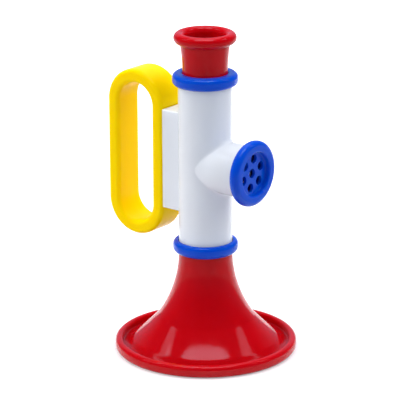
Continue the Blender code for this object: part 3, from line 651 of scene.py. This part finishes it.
mouth_line = rounded(
    (SHANK_BORE, mouth_low.z, EDGE_ROUND),
    (SPIGOT_RADIUS, mouth_low.z, EDGE_ROUND),
    (SPIGOT_RADIUS, tube_high.z + FIT),
    (MOUTH_FLANGE_RADIUS, tube_high.z + FIT),
    (MOUTH_FLANGE_RADIUS, flange_top),
    (MOUTH_NECK_RADIUS, flange_top),
    *neck_line,
    *collar_line[1:],
    *rim_line,
    (rim_middle - MOUTH_RIM_SECTION, rim_z - MOUTH_RIM_SECTION, MOUTH_CUP_ROUND),
    (MOUTH_THROAT_RADIUS, MOUTH_SEAT, EDGE_ROUND),
    (SHANK_BORE, MOUTH_SEAT),
)
mouth_mesh = turned(mouth_line, MOUTH_STEPS)
mouthpiece = solid("mouthpiece_moulding", mouth_mesh, red_abs, Matrix.Translation(AXIS))
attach(mouthpiece, "body")
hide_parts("mouthpiece")

# Reed: a half-round holder and a wedge of white ABS pinch a tongue cut from rolled brass strip. They sit
# deep in the shank, so they keep their plain shapes and only take their finish here.
ROLLING_LINE = 0.25
ROLLING_STRETCH = (1, 1, 0.04)
TARNISH_CLOUD = 4
SMOOTHER_ALONG = 0.08
ROUGHER_BETWEEN = 0.12
MARK_STRENGTH = 0.15
MARK_HEIGHT = 0.00005


def dress(node, material):
    """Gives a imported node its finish."""
    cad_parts[node].data.materials.clear()
    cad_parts[node].data.materials.append(material)


def worked_metal(name, bright, dull, roughness, grain, grain_stretch):
    """Bare metal with fine marks of its working along one way.

    The eye sees a streaky sheen, brighter along the marks, with duller clouds of tarnish between.
    """
    material = bpy.data.materials.new(name)
    material.use_nodes = True
    shader = material.node_tree.nodes["Principled BSDF"]
    shader.inputs["Metallic"].default_value = 1.0
    place = add_node(material, "TexCoord", {}).outputs["Object"]
    stretch = add_node(material, "Mapping", {"Vector": place, "Scale": grain_stretch}).outputs["Vector"]
    marks = add_node(material, "TexNoise", {"Vector": stretch, "Scale": per(grain), "Detail": 2.0})
    clouds = add_node(material, "TexNoise", {"Vector": place, "Scale": per(TARNISH_CLOUD), "Detail": 3.0})
    tint = add_node(
        material, "MixRGB", {"Fac": clouds.outputs["Fac"], "Color1": linear(bright), "Color2": linear(dull)}
    )
    sheen = add_node(
        material,
        "MapRange",
        {
            "Value": marks.outputs["Fac"],
            "To Min": roughness - SMOOTHER_ALONG,
            "To Max": roughness + ROUGHER_BETWEEN,
        },
    )
    relief = {"Height": marks.outputs["Fac"], "Strength": MARK_STRENGTH, "Distance": MARK_HEIGHT}
    bump = add_node(material, "Bump", relief)
    links = material.node_tree.links
    links.new(tint.outputs["Color"], shader.inputs["Base Color"])
    links.new(sheen.outputs["Result"], shader.inputs["Roughness"])
    links.new(bump.outputs["Normal"], shader.inputs["Normal"])
    return material


rolled_brass = worked_metal("rolled_brass", "#CDA650", "#B98F3C", 0.3, ROLLING_LINE, ROLLING_STRETCH)
dress("reed_tongue", rolled_brass)
dress("reed_holder", white_abs)
dress("reed_wedge", white_abs)

# Handle: a flat strap of lemon yellow ABS moulded as a long closed loop with rounded edges. Two screws go
# through counterbored holes in its inner run into the bracket, with their heads inside the loop.
screw_low, screw_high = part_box("handle_screw_upper")
HANDLE_WIDTH = handle_high.x - handle_low.x
STRAP_WIDTH = handle_high.y - handle_low.y
STRAP_THICKNESS = 0.0076
STRAP_ROUND = 0.0024
HANDLE_Z = BRANCH_Z + BRACKET_RISE
SCREW_RISE = (screw_low.z + screw_high.z) / 2 - HANDLE_Z
HEAD_HOLE = 0.0033
COUNTERBORE = 0.0026
HANDLE_ARC_STEPS = 48
LONG_FACE_AREA = 1e-4

yellow_abs = moulded_abs(
    "yellow_moulded_abs", "#FFD800", "#FFD200", 0.15, 0.2, 0.06, (0.005, 0.004, 0.0003)
)

bend_radius = (HANDLE_WIDTH - STRAP_THICKNESS) / 2
straight = (handle_high.z - handle_low.z - HANDLE_WIDTH) / 2
section = rounded(
    (STRAP_THICKNESS / 2, -STRAP_WIDTH / 2, STRAP_ROUND),
    (STRAP_THICKNESS / 2, STRAP_WIDTH / 2, STRAP_ROUND),
    (-STRAP_THICKNESS / 2, STRAP_WIDTH / 2, STRAP_ROUND),
    (-STRAP_THICKNESS / 2, -STRAP_WIDTH / 2, STRAP_ROUND),
)
handle_mesh = bmesh.new()
sections = []
for end in (1, -1):
    for k in range(HANDLE_ARC_STEPS + 1):
        angle = math.pi * k / HANDLE_ARC_STEPS + (0 if end > 0 else math.pi)
        outward = Vector((math.cos(angle), 0, math.sin(angle)))
        middle = outward * bend_radius + Vector((0, 0, end * straight))
        across_strap = [middle + outward * p.x + Vector((0, p.y, 0)) for p in section]
        sections.append([handle_mesh.verts.new(point) for point in across_strap])
skin(handle_mesh, sections, wrap=True)

# The run beside the bracket is flat on both faces: each face is filled again round its two screw holes.
inner_x = HANDLE_WIDTH / 2 - STRAP_THICKNESS
outer_x = HANDLE_WIDTH / 2
faces_with_holes = {inner_x: [], outer_x: []}
for rise in (SCREW_RISE, -SCREW_RISE):
    hole = [
        ring_of_verts(handle_mesh, inner_x, HEAD_HOLE + EDGE_ROUND, rise),
        ring_of_verts(handle_mesh, inner_x + EDGE_ROUND, HEAD_HOLE, rise),
        ring_of_verts(handle_mesh, inner_x + COUNTERBORE, HEAD_HOLE, rise),
        ring_of_verts(handle_mesh, inner_x + COUNTERBORE, SCREW_HOLE, rise),
        ring_of_verts(handle_mesh, outer_x, SCREW_HOLE, rise),
    ]
    skin(handle_mesh, hole)
    faces_with_holes[inner_x] += loop_edges(handle_mesh, hole[0])
    faces_with_holes[outer_x] += loop_edges(handle_mesh, hole[-1])
for x, edges in faces_with_holes.items():
    flat = [face for face in handle_mesh.faces if abs(face.calc_center_median().x - x) < SAME_PLACE]
    spans = [face for face in flat if face.calc_area() > LONG_FACE_AREA]
    for span in spans:
        edges += list(span.edges)
    bmesh.ops.delete(handle_mesh, geom=spans, context="FACES_ONLY")
    bmesh.ops.triangle_fill(handle_mesh, edges=edges, use_beauty=True)
handle_place = Matrix.Translation(((handle_low.x + handle_high.x) / 2, 0, HANDLE_Z))
handle = solid("handle_moulding", handle_mesh, yellow_abs, handle_place)
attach(handle, "body")
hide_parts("handle")

# Handle screws: zinc-plated steel, pan heads with a cross recess, driven from inside the loop through the
# strap into the bracket's bosses. The plating leaves a bright skin with a faint cloudiness.
SCREW_RADIUS = 0.0015
SCREW_HEAD_RADIUS = 0.0030
SCREW_HEAD_HEIGHT = 0.0020
SCREW_CROWN = 0.0011
SCREW_POINT = 0.0006
RECESS_WIDTH = 0.0009
RECESS_LENGTH = 0.0036
RECESS_DEPTH = 0.0011
SCREW_STOPS = {"handle_screw_upper": math.radians(17), "handle_screw_lower": math.radians(40)}
PLATING_GRAIN = 0.3
SCREW_STEPS = 48

zinc_steel = worked_metal("zinc_plated_steel", "#C3C7CC", "#A9ADB3", 0.3, PLATING_GRAIN, (1, 1, 1))


def cut_away(made, bm, place):
    """Cuts a closed mesh out of a piece for good."""
    cutter = solid("cutter", bm, made.data.materials[0], place)
    cut = made.modifiers.new("cut", "BOOLEAN")
    cut.operation = "DIFFERENCE"
    cut.object = cutter
    made.modifiers.move(len(made.modifiers) - 1, 0)
    bpy.context.view_layer.objects.active = made
    bpy.ops.object.modifier_apply(modifier="cut")
    bpy.data.objects.remove(cutter)


screw_length = screw_high.x - screw_low.x
screw_line = rounded(
    (0, screw_length),
    (SCREW_HEAD_RADIUS, screw_length, SCREW_CROWN),
    (SCREW_HEAD_RADIUS, screw_length - SCREW_HEAD_HEIGHT, EDGE_ROUND / 2),
    (SCREW_RADIUS, screw_length - SCREW_HEAD_HEIGHT),
    (SCREW_RADIUS, SCREW_RADIUS),
    (SCREW_POINT, 0),
    (0, 0),
)
near, far = RECESS_WIDTH / 2, RECESS_LENGTH / 2
quarter = [(near, near), (near, far), (-near, far), (-near, near), (-far, near), (-far, -near)]
cross = quarter + [(-x, -y) for x, y in quarter]
for node, stop in SCREW_STOPS.items():
    low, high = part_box(node)
    screw_foot = Matrix.Translation((high.x, 0, (low.z + high.z) / 2))
    screw_place = screw_foot @ Matrix.Rotation(-math.pi / 2, 4, "Y")
    screw_mesh = turned(screw_line, SCREW_STEPS)
    bmesh.ops.remove_doubles(screw_mesh, verts=screw_mesh.verts, dist=SAME_PLACE)
    bare_edges = [edge for edge in screw_mesh.edges if not edge.link_faces]
    bmesh.ops.delete(screw_mesh, geom=bare_edges, context="EDGES")
    screw = solid(node + "_turned", screw_mesh, zinc_steel, screw_place)
    recess = bmesh.new()
    levels = [screw_length - RECESS_DEPTH, screw_length + RECESS_DEPTH]
    ends = [[recess.verts.new((x, y, z)) for x, y in cross] for z in levels]
    skin(recess, ends)
    for end in ends:
        recess.faces.new(end)
    cut_away(screw, recess, screw_place @ Matrix.Rotation(stop, 4, "Z"))
    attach(screw, "body")
    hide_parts(node)

# Valve inside the branch: a white ABS port plate, a blue ABS carrier in the button's skirt and a pad of
# black moulded rubber that closes the port. They hide behind the button, so they keep their plain shapes.
RUBBER_GRAIN = 0.35
RUBBER_BLOOM = 5
RUBBER_IOR = 1.52
RUBBER_ROUGHNESS = (0.6, 0.8)
GRAIN_STRENGTH = 0.3
GRAIN_HEIGHT = 0.00005

soft_rubber = bpy.data.materials.new("black_moulded_rubber")
soft_rubber.use_nodes = True
rubber_shader = soft_rubber.node_tree.nodes["Principled BSDF"]
rubber_shader.inputs["IOR"].default_value = RUBBER_IOR
# A spark-eroded mould gives the rubber a fine dull grain, with a greyish bloom in patches.
rubber_place = add_node(soft_rubber, "TexCoord", {}).outputs["Object"]
rubber_grain = add_node(soft_rubber, "TexNoise", {"Vector": rubber_place, "Scale": per(RUBBER_GRAIN)})
bloom_pattern = {"Vector": rubber_place, "Scale": per(RUBBER_BLOOM), "Detail": 3.0}
rubber_bloom = add_node(soft_rubber, "TexNoise", bloom_pattern)
rubber_tint = add_node(
    soft_rubber,
    "MixRGB",
    {"Fac": rubber_bloom.outputs["Fac"], "Color1": linear("#242426"), "Color2": linear("#323234")},
)
rubber_dullness = add_node(
    soft_rubber,
    "MapRange",
    {
        "Value": rubber_bloom.outputs["Fac"],
        "To Min": RUBBER_ROUGHNESS[0],
        "To Max": RUBBER_ROUGHNESS[1],
    },
)
rubber_bump = add_node(
    soft_rubber,
    "Bump",
    {"Height": rubber_grain.outputs["Fac"], "Strength": GRAIN_STRENGTH, "Distance": GRAIN_HEIGHT},
)
soft_rubber.node_tree.links.new(rubber_tint.outputs["Color"], rubber_shader.inputs["Base Color"])
soft_rubber.node_tree.links.new(rubber_dullness.outputs["Result"], rubber_shader.inputs["Roughness"])
soft_rubber.node_tree.links.new(rubber_bump.outputs["Normal"], rubber_shader.inputs["Normal"])

# The carrier is coloured dark navy, not the button's blue: painted shade that darkens the vent holes seen
# through the button's face.
painted_shade_carrier_abs = moulded_abs("navy_abs_painted_shade", "#061A78", "#051668", 0.15, 0.2, 0.25, (0.0003, 0.0004, 0.001))
dress("port_plate", white_abs)
dress("valve_carrier", painted_shade_carrier_abs)
dress("valve_pad", soft_rubber)

# Button spring: cold-coiled zinc-plated steel wire with a closed coil at each end, between the port plate
# and the carrier. In the toy it shortens as the button is pressed; here it keeps one length.
spring_low, spring_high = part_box("button_spring")
SPRING_WIRE = 0.0009
SPRING_OPEN_TURNS = 3.5
SPRING_END_TURNS = 1.0
SPRING_END_PITCH = 0.00098
CURL_POINTS = 48
WIRE_POINTS = 12
TURN_NUDGE = 1e-4

spring_length = spring_high.x - spring_low.x
spring_radius = (spring_high.z - spring_low.z) / 2 - SPRING_WIRE / 2
turn_count = SPRING_OPEN_TURNS + 2 * SPRING_END_TURNS
open_rise = spring_length - SPRING_WIRE - 2 * SPRING_END_TURNS * SPRING_END_PITCH


def wire_point(turns):
    """Middle of the wire after that many turns, out along X from the spring's foot."""
    opened = min(max(turns - SPRING_END_TURNS, 0), SPRING_OPEN_TURNS)
    closed = turns - opened
    rise = closed * SPRING_END_PITCH + open_rise * opened / SPRING_OPEN_TURNS
    angle = math.tau * turns
    return Vector((rise, spring_radius * math.cos(angle), spring_radius * math.sin(angle)))


spring_mesh = bmesh.new()
wire_rows = []
for k in range(round(turn_count * CURL_POINTS) + 1):
    turns = k / CURL_POINTS
    middle = wire_point(turns)
    outward = Vector((0, middle.y, middle.z)).normalized()
    along = (wire_point(turns + TURN_NUDGE) - wire_point(turns - TURN_NUDGE)).normalized()
    sideways = outward.cross(along)
    row = []
    for i in range(WIRE_POINTS):
        angle = math.tau * i / WIRE_POINTS
        spoke = outward * math.cos(angle) + sideways * math.sin(angle)
        row.append(spring_mesh.verts.new(middle + spoke * SPRING_WIRE / 2))
    wire_rows.append(row)
skin(spring_mesh, wire_rows)
for end in (wire_rows[0], wire_rows[-1]):
    spring_mesh.faces.new(end)
spring_foot = Vector((spring_low.x + SPRING_WIRE / 2, 0, BRANCH_Z))
spring = solid("button_spring_coil", spring_mesh, zinc_steel, Matrix.Translation(spring_foot))
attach(spring, "body")
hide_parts("button_spring")
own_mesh(spring)

# Side button: one moulding of royal blue ABS with a full round rim, a dished face with seven vent holes
# and a skirt that slides in the branch and snaps behind its lip. A recess in its back goes over the
# branch's end.
BUTTON_RADIUS = (button_high.y - button_low.y) / 2
BUTTON_THICKNESS = 0.0062
BUTTON_ROUND = 0.0030
DISH_RADIUS = 0.0122
DISH_DEPTH = 0.0031
DISH_CREST_ROUND = 0.0010
DISH_FOOT_ROUND = 0.0009
BUTTON_FLOOR = 0.0018
SKIRT_RADIUS = 0.0121
SKIRT_BORE = 0.0109
BEAD_RADIUS = 0.0127
BEAD_FRONT = 0.0262
BUTTON_RECESS_DEPTH = 0.0020
VENT_RADIUS = 0.0025
VENT_LIP = 0.00025
VENT_LIP_BEND = 0.3
VENT_CIRCLE = 0.00815
VENT_COUNT = 6
VENT_TURN = math.radians(11)
VENT_POINTS = 40
BUTTON_STEPS = 144

front = button_high.x - AXIS.x
back = front - BUTTON_THICKNESS
bead_back = button_low.x - AXIS.x
dish_floor = front - DISH_DEPTH
floor_back = dish_floor - BUTTON_FLOOR
button_line = rounded(
    (DISH_RADIUS - DISH_FOOT_ROUND, dish_floor),
    (DISH_RADIUS, dish_floor, DISH_FOOT_ROUND),
    (DISH_RADIUS, front, DISH_CREST_ROUND),
    (BUTTON_RADIUS, front, BUTTON_ROUND),
    (BUTTON_RADIUS, back, BUTTON_ROUND),
    (BRANCH_RADIUS + FIT, back, EDGE_ROUND),
    (BRANCH_RADIUS + FIT, back + BUTTON_RECESS_DEPTH),
    (SKIRT_RADIUS, back + BUTTON_RECESS_DEPTH),
    (SKIRT_RADIUS, BEAD_FRONT),
    (BEAD_RADIUS, BEAD_FRONT, EDGE_ROUND / 2),
    (BEAD_RADIUS, bead_back + BEAD_RADIUS - SKIRT_RADIUS),
    (SKIRT_RADIUS, bead_back),
    (SKIRT_BORE, bead_back),
    (SKIRT_BORE, floor_back),
)
button_mesh = bmesh.new()
button_rows = turned_rows(button_mesh, button_line, BUTTON_STEPS)
skin(button_mesh, button_rows, wrap=True, closed=False)
floors = {end: loop_edges(button_mesh, [row[end] for row in button_rows]) for end in (0, -1)}
# On the branch, up is -X of the button's own frame, so the first hole of the circle starts from there.
first_vent = math.pi - VENT_TURN
vents = [Vector((0, 0))]
for k in range(VENT_COUNT):
    angle = first_vent + math.tau * k / VENT_COUNT
    vents.append(VENT_CIRCLE * Vector((math.cos(angle), math.sin(angle))))
vent_line = [
    (VENT_RADIUS + VENT_LIP, dish_floor),
    (VENT_RADIUS + VENT_LIP * VENT_LIP_BEND, dish_floor - VENT_LIP * VENT_LIP_BEND),
    (VENT_RADIUS, dish_floor - VENT_LIP),
    (VENT_RADIUS, floor_back),
]
vent_turns = [math.tau * k / VENT_POINTS for k in range(VENT_POINTS)]
for vent in vents:
    loops = []
    for radius, level in vent_line:
        circle = [(vent.x + radius * math.cos(a), vent.y + radius * math.sin(a)) for a in vent_turns]
        loops.append([button_mesh.verts.new((x, y, level)) for x, y in circle])
    skin(button_mesh, loops)
    for end in floors:
        floors[end] += loop_edges(button_mesh, loops[end])
for edges in floors.values():
    bmesh.ops.triangle_fill(button_mesh, edges=edges, use_beauty=True)
out_along_x = Matrix.Translation(AXIS + Vector((0, 0, BRANCH_Z))) @ Matrix.Rotation(math.pi / 2, 4, "Y")
button = solid("side_button_moulding", button_mesh, blue_abs, out_along_x)
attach(button, "button")
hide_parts("side_button")

# Floor: a plain matt sheet that runs far past the view. It is white in the picture, where it keeps the
# toy's soft shadow, and fades to a pale grey in front and to the sides. From below it can be looked
# through.
VIEW_AZIMUTH = math.radians(37.917)
FLOOR_RADIUS = 6.0
FLOOR_POINTS = 96
FLOOR_DROP = 0.0001
SHEET_FRONT = 0.09
SHEET_SIDE = 0.115
SHEET_SPREAD = 2.0
SHEET_FADE = 0.06
SHEET_WHITE = "#DDDDDE"
FLOOR_GREY = "#A0A0A2"
FLOOR_PALENESS = 0.35
GLOW_START = 0.1
GLOW_END = 0.9
GLOW_NEAR = 0.30
GLOW_FAR = 0.95

to_right = Vector((math.cos(VIEW_AZIMUTH), math.sin(VIEW_AZIMUTH), 0))
away = Vector((-math.sin(VIEW_AZIMUTH), math.cos(VIEW_AZIMUTH), 0))
up = Vector((0, 0, 1))
floor_mesh = bmesh.new()
bmesh.ops.create_circle(floor_mesh, cap_ends=True, segments=FLOOR_POINTS, radius=FLOOR_RADIUS)
white_sheet = bpy.data.materials.new("matt_white_sheet")
white_sheet.use_nodes = True
sheet_nodes = white_sheet.node_tree.nodes
sheet_shader = sheet_nodes["Principled BSDF"]
sheet_shader.inputs["Roughness"].default_value = 0.9
sheet_shader.inputs["Specular IOR Level"].default_value = 0.1
floor_place = add_node(white_sheet, "TexCoord", {}).outputs["Object"]
deep, across = [
    add_node(white_sheet, "VectorMath", {0: floor_place, 1: way}, operation="DOT_PRODUCT").outputs["Value"]
    for way in (away, to_right)
]
aside = add_node(white_sheet, "Math", {0: across}, operation="ABSOLUTE").outputs["Value"]
behind = add_node(white_sheet, "Math", {0: deep, 1: 0.0}, operation="MAXIMUM").outputs["Value"]
reach = add_node(white_sheet, "Math", {0: behind, 1: SHEET_FADE}, operation="ADD").outputs["Value"]
past_side = add_node(white_sheet, "Math", {0: aside, 1: SHEET_SIDE}, operation="SUBTRACT").outputs["Value"]
spread = add_node(white_sheet, "Math", {0: past_side, 1: reach}, operation="DIVIDE").outputs["Value"]
in_front = add_node(white_sheet, "Math", {0: deep, 1: -1.0}, operation="MULTIPLY").outputs["Value"]
fades = []
for past, first_fade, last_fade in (
    (spread, 0.0, SHEET_SPREAD),
    (in_front, SHEET_FRONT, SHEET_FRONT + SHEET_FADE),
):
    fade = {"Value": past, "From Min": first_fade, "From Max": last_fade, "To Min": 1.0, "To Max": 0.0}
    faded = add_node(white_sheet, "MapRange", fade, interpolation_type="SMOOTHSTEP")
    fades.append(faded.outputs["Result"])
sheet = add_node(white_sheet, "Math", {0: fades[0], 1: fades[1]}, operation="MULTIPLY").outputs["Value"]
sheet_tint = add_node(
    white_sheet, "MixRGB", {"Fac": sheet, "Color1": linear(FLOOR_GREY), "Color2": linear(SHEET_WHITE)}
).outputs["Color"]
white_sheet.node_tree.links.new(sheet_tint, sheet_shader.inputs["Base Color"])
# The glow whitens the sheet where it is looked at or mirrored in the gloss, and adds no other light.
path = add_node(white_sheet, "LightPath", {})
seen = path.outputs["Is Camera Ray"]
for ray in ("Is Glossy Ray", "Is Transmission Ray"):
    seen_by_ray = add_node(white_sheet, "Math", {0: seen, 1: path.outputs[ray]}, operation="MAXIMUM")
    seen = seen_by_ray.outputs["Value"]
paleness = add_node(
    white_sheet, "MapRange", {"Value": sheet, "To Min": FLOOR_PALENESS, "To Max": 1.0}
).outputs["Result"]
seen_sheet = add_node(white_sheet, "Math", {0: seen, 1: paleness}, operation="MULTIPLY")
distance = add_node(white_sheet, "VectorMath", {0: floor_place}, operation="LENGTH").outputs["Value"]
glow_near = add_node(
    white_sheet,
    "MapRange",
    {
        "Value": distance,
        "From Min": GLOW_START,
        "From Max": GLOW_END,
        "To Min": GLOW_NEAR,
        "To Max": GLOW_FAR,
    },
)
glow_level = add_node(
    white_sheet,
    "Math",
    {0: seen_sheet.outputs["Value"], 1: glow_near.outputs["Result"]},
    operation="MULTIPLY",
)
glow = add_node(white_sheet, "Emission", {"Strength": glow_level.outputs["Value"]})
upper_side = add_node(
    white_sheet, "AddShader", {0: sheet_shader.outputs["BSDF"], 1: glow.outputs["Emission"]}
)
below = add_node(white_sheet, "NewGeometry", {}).outputs["Backfacing"]
clear = add_node(white_sheet, "BsdfTransparent", {}).outputs["BSDF"]
either = add_node(white_sheet, "MixShader", {0: below, 1: upper_side.outputs["Shader"], 2: clear})
sheet_surface = sheet_nodes["Material Output"].inputs["Surface"]
white_sheet.node_tree.links.new(either.outputs["Shader"], sheet_surface)
floor = solid("floor", floor_mesh, white_sheet, Matrix.Translation((0, 0, -FLOOR_DROP)))
floor.modifiers.clear()

# Light: white panels round the toy, as in a small light tent, give the even light, and soft boxes overhead
# give the gloss. All are oval lamps that face the toy, cool or white.
LIGHT_AIM = Vector((0, 0, 0.08))
PANEL_DISTANCE = 1.35
PANEL_SIZE = 1.0
COOL = "#D8E8FF"
PALE = "#DCE8F8"
WHITE = "#FFFFFF"


def soft_box(name, place, width, depth, radiance, tint, gloss):
    """Oval lamp that faces the toy, for its gloss or for its even light; 1 is as bright as white paper."""
    data = bpy.data.lights.new(name, "AREA")
    data.shape = "ELLIPSE"
    data.size = width
    data.size_y = depth
    data.energy = radiance * math.pi * (math.pi / 4 * width * depth)
    data.color = linear(tint)[:3]
    lamp = bpy.data.objects.new(name, data)
    bpy.context.collection.objects.link(lamp)
    lamp.location = place
    lamp.rotation_mode = "QUATERNION"
    lamp.rotation_quaternion = (LIGHT_AIM - lamp.location).to_track_quat("-Z", "Y")
    lamp.visible_camera = False
    lamp.visible_glossy = gloss
    lamp.visible_diffuse = not gloss


# Each panel: degrees right of the camera's side and above the floor, seen from the toy; brightness; tint.
panels = {
    "tent_top": (0, 90, 1.60, WHITE),
    "tent_front_top": (0, 70, 0.35, COOL),
    "tent_front": (0, 12, 1.25, PALE),
    "tent_front_left": (-45, 30, 1.75, WHITE),
    "tent_front_right": (45, 30, 0.75, COOL),
    "tent_left": (-90, 30, 2.80, WHITE),
    "tent_right": (90, 30, 3.05, WHITE),
    "tent_left_top": (-90, 60, 2.00, WHITE),
    "tent_right_top": (90, 60, 1.95, WHITE),
    "tent_back_left": (-140, 30, 1.20, WHITE),
    "tent_back_right": (140, 30, 1.60, WHITE),
    "tent_back_top": (180, 60, 1.60, WHITE),
}
for name, (azimuth, elevation, radiance, tint) in panels.items():
    turn, rise = math.radians(azimuth), math.radians(elevation)
    level_way = to_right * math.sin(turn) - away * math.cos(turn)
    way = level_way * math.cos(rise) + up * math.sin(rise)
    soft_box(name, LIGHT_AIM + way * PANEL_DISTANCE, PANEL_SIZE, PANEL_SIZE, radiance, tint, gloss=False)

# Each soft box: metres up, away from the camera and to its right; width and depth; brightness.
gloss_boxes = {
    "top_soft_box": (1.2, -0.17, 0.0, 1.0, 0.5, 7.2),
    "rear_soft_box": (1.2, 0.40, 0.0, 1.0, 0.6, 2.6),
    "left_soft_box": (0.95, 0.10, -0.86, 0.26, 0.50, 2.6),
    "left_strip": (1.0, 0.05, -0.58, 0.08, 0.40, 3.4),
    "right_soft_box": (0.95, 0.10, 0.84, 0.24, 0.50, 2.5),
    "right_strip": (1.0, 0.12, 0.60, 0.08, 0.34, 3.1),
}
for name, (above, beyond, right, width, depth, radiance) in gloss_boxes.items():
    box_place = up * above + away * beyond + to_right * right
    soft_box(name, box_place, width, depth, radiance, COOL, gloss=True)

# Room: a dim, cool studio with a pale backdrop behind the toy and low pale walls all round, which the gloss
# of the toy mirrors. The backdrop's edge and middle are cosines of the angle to it, and the walls' foot and
# top are sines of the angle above the floor.
ROOM_TINT = "#CCDCFF"
ROOM_LEVEL = 0.06
BACKDROP_LEVEL = 0.65
BACKDROP_RISE = math.radians(28)
BACKDROP_EDGE = 0.62
BACKDROP_MIDDLE = 0.95
WALL_LEVEL = 0.35
WALL_FOOT = 0.05
WALL_TOP = 0.35

room = bpy.data.worlds.new("dim_studio")
bpy.context.scene.world = room
room.use_nodes = True
room_light = room.node_tree.nodes["Background"]
room_light.inputs["Color"].default_value = linear(ROOM_TINT)
looking = add_node(room, "TexCoord", {}).outputs["Generated"]
backdrop_way = away * math.cos(BACKDROP_RISE) + up * math.sin(BACKDROP_RISE)
facing = add_node(room, "VectorMath", {0: looking, 1: backdrop_way}, operation="DOT_PRODUCT")
backdrop = add_node(
    room,
    "MapRange",
    {
        "Value": facing.outputs["Value"],
        "From Min": BACKDROP_EDGE,
        "From Max": BACKDROP_MIDDLE,
        "To Min": ROOM_LEVEL,
        "To Max": BACKDROP_LEVEL,
    },
    interpolation_type="SMOOTHSTEP",
).outputs["Result"]
looking_up = add_node(room, "SeparateXYZ", {"Vector": looking}).outputs["Z"]
walls = add_node(
    room,
    "MapRange",
    {
        "Value": looking_up,
        "From Min": WALL_FOOT,
        "From Max": WALL_TOP,
        "To Min": WALL_LEVEL,
        "To Max": ROOM_LEVEL,
    },
).outputs["Result"]
brighter = add_node(room, "Math", {0: backdrop, 1: walls}, operation="MAXIMUM").outputs["Value"]
room.node_tree.links.new(brighter, room_light.inputs["Strength"])

# Camera: a long lens at the photograph's viewing angle and distance, turned a little about its own axis.
# It looks near the middle of the toy, and the picture shows plain colours with no film look.
VIEW_ELEVATION = math.radians(17.678)
VIEW_DISTANCE = 1.3739
VIEW_ROLL = math.radians(-0.219)
VIEW_TARGET = Vector((0.00314, -0.00188, 0.08683))
LENS = 221.8

camera_data = bpy.data.cameras.new("camera")
camera_data.lens = LENS
camera = bpy.data.objects.new("camera", camera_data)
bpy.context.collection.objects.link(camera)
towards = (-away * math.cos(VIEW_ELEVATION) + up * math.sin(VIEW_ELEVATION)).normalized()
camera.location = VIEW_TARGET + towards * VIEW_DISTANCE
camera.rotation_mode = "QUATERNION"
camera.rotation_quaternion = (-towards).to_track_quat("-Z", "Y") @ Quaternion((0, 0, 1), VIEW_ROLL)
bpy.context.scene.camera = camera
bpy.context.scene.view_settings.view_transform = "Standard"
